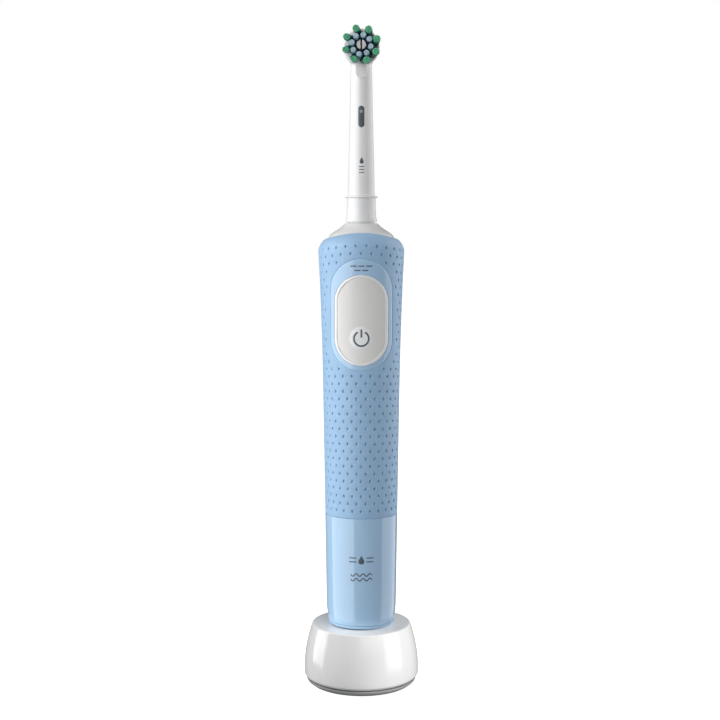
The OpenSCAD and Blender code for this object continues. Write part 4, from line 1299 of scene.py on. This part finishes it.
def make_head_base_ring():
    """The ring at the foot of the brush head."""
    bore_r, skirt_r = 4.4, 5.2
    skirt_z = HEAD_LOW_Z - 0.4
    profile = fillet(
        [(bore_r, skirt_z, 0.1), (skirt_r, skirt_z, 0.1), (skirt_r, HEAD_LOW_Z, 0), (5.9, HEAD_LOW_Z, 0.22),
         (5.9, HEAD_LOW_Z + 1.3, 0.12), (5.66, HEAD_LOW_Z + 1.42, 0.1), (5.46, HEAD_LOW_Z + 5.4, 0),
         (5.4, FLANGE_Z, 0), (bore_r, FLANGE_Z, 0)])
    make_piece("head_foot_ring", lathe(profile), "brush_head", "head_white", "head_base_ring")


def make_neck_inlay():
    """The dark inlay high on the neck with its lighter dot."""
    inlay = plate([(slot_outline(2.3, 8, MARK_Z, 0.2), rounded(0.0, 0.15, 3))], on_neck, -0.48, 0.5)
    make_piece("neck_inlay", inlay, "brush_head", "mark_grey", "neck_mark")
    dot = plate([(round_outline(0.62, 0.05, MARK_Z + 1.9), rounded(0.05, 0.06, 2))], on_neck, -0.1, 0.4)
    make_piece("neck_inlay_dot", dot, "brush_head", "inner_grey")


def make_neck_mark():
    """A plain drop with three bars below it, printed low on the neck."""
    rise = 0.03
    middle_x = 0.1
    mark_z = FLANGE_Z + 11.9
    outline = drop_outline(1.7, 2.5, middle_x, mark_z + 2.0)
    drop = plate([(outline, rounded(rise, 0.05, 2))], on_neck, -PRINT_ROOT, 0.4)
    bars = [bar(middle_x - 0.85, middle_x + 0.85, mark_z + lift, 0.2, on_neck, rise)
            for lift in (-0.3, -1.4, -2.5)]
    make_piece("neck_drop_mark", join(drop, *bars), "brush_head", "mark_grey")


def make_bristle_carrier():
    """The round disc that holds the tufts, with the two ribs that the drive rod's ball moves between."""
    bore_r = 0.96
    bore_end_y = CARRIER_FRONT_Y + 0.5
    profile = fillet(
        [(bore_r, CARRIER_BACK_Y, 0.1), (CARRIER_R, CARRIER_BACK_Y, 0.5), (CARRIER_R, CARRIER_FRONT_Y, 0.7),
         (CARRIER_R - 1.2, CARRIER_FRONT_Y, 0), (0, CARRIER_FRONT_Y, 0), (0, bore_end_y, 0),
         (bore_r, bore_end_y, 0)])
    carrier = make_object("bristle_plate", *lathe(profile, about_level(DISC_Z), 128))
    front_y, back_y = CARRIER_BACK_Y - 0.5, high("bristle_carrier").y
    low_z, top_z = DISC_Z - 4.9, DISC_Z - 3.3
    ribs = []
    for side in (-1, 1):
        box = [(side * x, y, z) for x in (0.9, 1.8) for y in (front_y, back_y) for z in (low_z, top_z)]
        ribs.append((box, BOX_FACES))
    boolean(carrier, make_object("ribs", *join(*ribs)), "UNION")
    finish_piece(carrier, "bristle_disc", "head_white", "bristle_carrier")


def packed(radius, step):
    """Staggered places inside a circle."""
    grid = lattice((-radius - step, -radius - step), (2 * radius + 2 * step, 2 * radius + 2 * step), step)
    grid = grid - grid.mean(0)
    return grid[np.hypot(grid[:, 0], grid[:, 1]) <= radius]


def filament(root, tip, radius, sides=6):
    """One filament with a rounded end, slightly bowed."""
    root, tip = np.array(root), np.array(tip)
    along = (tip - root) / np.linalg.norm(tip - root)
    across = np.cross(along, [0.3, 0, 1])
    across /= np.linalg.norm(across)
    up = np.cross(along, across)
    bow = rng.normal(0, 0.03, 2)
    turn = np.arange(sides) * TURN / sides
    ring = np.cos(turn)[:, None] * across + np.sin(turn)[:, None] * up
    loops = []
    for share, size, push in ((0, 1, 0), (0.5, 1, 0), (1, 1, -0.1), (1, 0.72, -0.03)):
        middle_point = root + (tip - root) * share + along * push
        middle_point = middle_point + math.sin(share * math.pi) * (across * bow[0] + up * bow[1])
        loops.append(middle_point + ring * radius * size)
    points, faces = bridge(*loops)
    points = np.vstack([points, tip])
    end = 3 * sides
    faces += [(end + i, end + (i + 1) % sides, len(points) - 1) for i in range(sides)]
    faces.append(tuple(range(sides))[::-1])
    return points, faces


def disc_point(radius, degrees, y):
    """A point on the bristle disc, degrees anticlockwise from +X seen from the front."""
    turn = math.radians(degrees)
    return np.array([radius * math.cos(turn), y, DISC_Z + radius * math.sin(turn)])


def tuft(root, tip, places, thickness, core, ragged):
    """A bundle of filaments between two points. Those further out than core end lower, as they splay."""
    along = (tip - root) / np.linalg.norm(tip - root)
    across = np.cross(along, [0, 0, 1.0])
    across /= np.linalg.norm(across)
    up = np.cross(across, along)
    made = []
    for a, b in places:
        jitter = rng.normal(0, 0.02, 2)
        sideways = (a + jitter[0]) * across + (b + jitter[1]) * up
        at_root, at_tip = root + sideways, tip + sideways
        at_root[1] = CARRIER_FRONT_Y + 0.25
        at_tip[1] = tip[1] + abs(rng.normal(0, ragged)) + 6 * max(0, math.hypot(a, b) - core)
        made.append(filament(at_root, at_tip, thickness))
    return join(*made)


def make_tufts():
    """Green outer tufts that lean round the disc, blue inner ones that lean back, and a split white one."""
    thickness, step = 0.1, 0.205
    for name, slot, node, root, tip, tip_y, spread, core in (
        ("green_tufts", "tuft_green", "outer_tufts", (4.9, 8), (6.1, 19.5), TUFT_TIP_Y, 1.3, 1.12),
        ("blue_tufts", "tuft_blue", "inner_tufts", (3.3, 3), (3.6, -12.6), TUFT_TIP_Y + 0.5, 1.25, 0.84),
    ):
        places = packed(spread, step)
        bundles = []
        for k in range(8):
            start = disc_point(root[0], root[1] + 45 * k, CARRIER_FRONT_Y)
            end = disc_point(tip[0], tip[1] + 45 * k, tip_y)
            bundles.append(tuft(start, end, places, thickness, core, 0.06))
        make_piece(name, join(*bundles), "bristle_disc", slot, node, sharp=60, weld=0)
    places = packed(1.66, step)
    places = places[np.abs(places[:, 0]) > 0.3]
    start, end = disc_point(0, 0, CARRIER_FRONT_Y), disc_point(0, 0, TUFT_TIP_Y + 0.9)
    centre = tuft(start, end, places, thickness, 9, 0.05)
    make_piece("white_tuft", centre, "bristle_disc", "tuft_white", "centre_tufts", sharp=60, weld=0)


# ---------------------------------------------------------------------------
# Everything together
# ---------------------------------------------------------------------------


def paint_cad_nodes():
    """Gives every CAD node that no new piece replaces the material of its own slot."""
    slots = {row["node"]: row["material_slot"] for row in frame["record"]["subparts"]}
    for node, obj in frame["nodes"].items():
        obj.data.materials.clear()
        obj.data.materials.append(materials[slots[node]])
        handle_side.objects.link(obj)


charger_side = bpy.data.collections.new("lit with the charger")
handle_side = bpy.data.collections.new("lit with the handle")
make_camera()
make_lights()
make_surround()
make_floor()
materials = make_materials()

make_charger_housing()
make_charger_base()
make_cord_gland()
make_bottom_cap()
make_housing_tube()
make_soft_grip()
make_top_collar()
make_button_bezel()
make_panel_dashes()
make_handle_marks()
make_power_button()
make_button_pad()
make_power_symbol()
make_brush_neck()
make_head_base_ring()
make_neck_inlay()
make_neck_mark()
make_bristle_carrier()
make_tufts()
paint_cad_nodes()
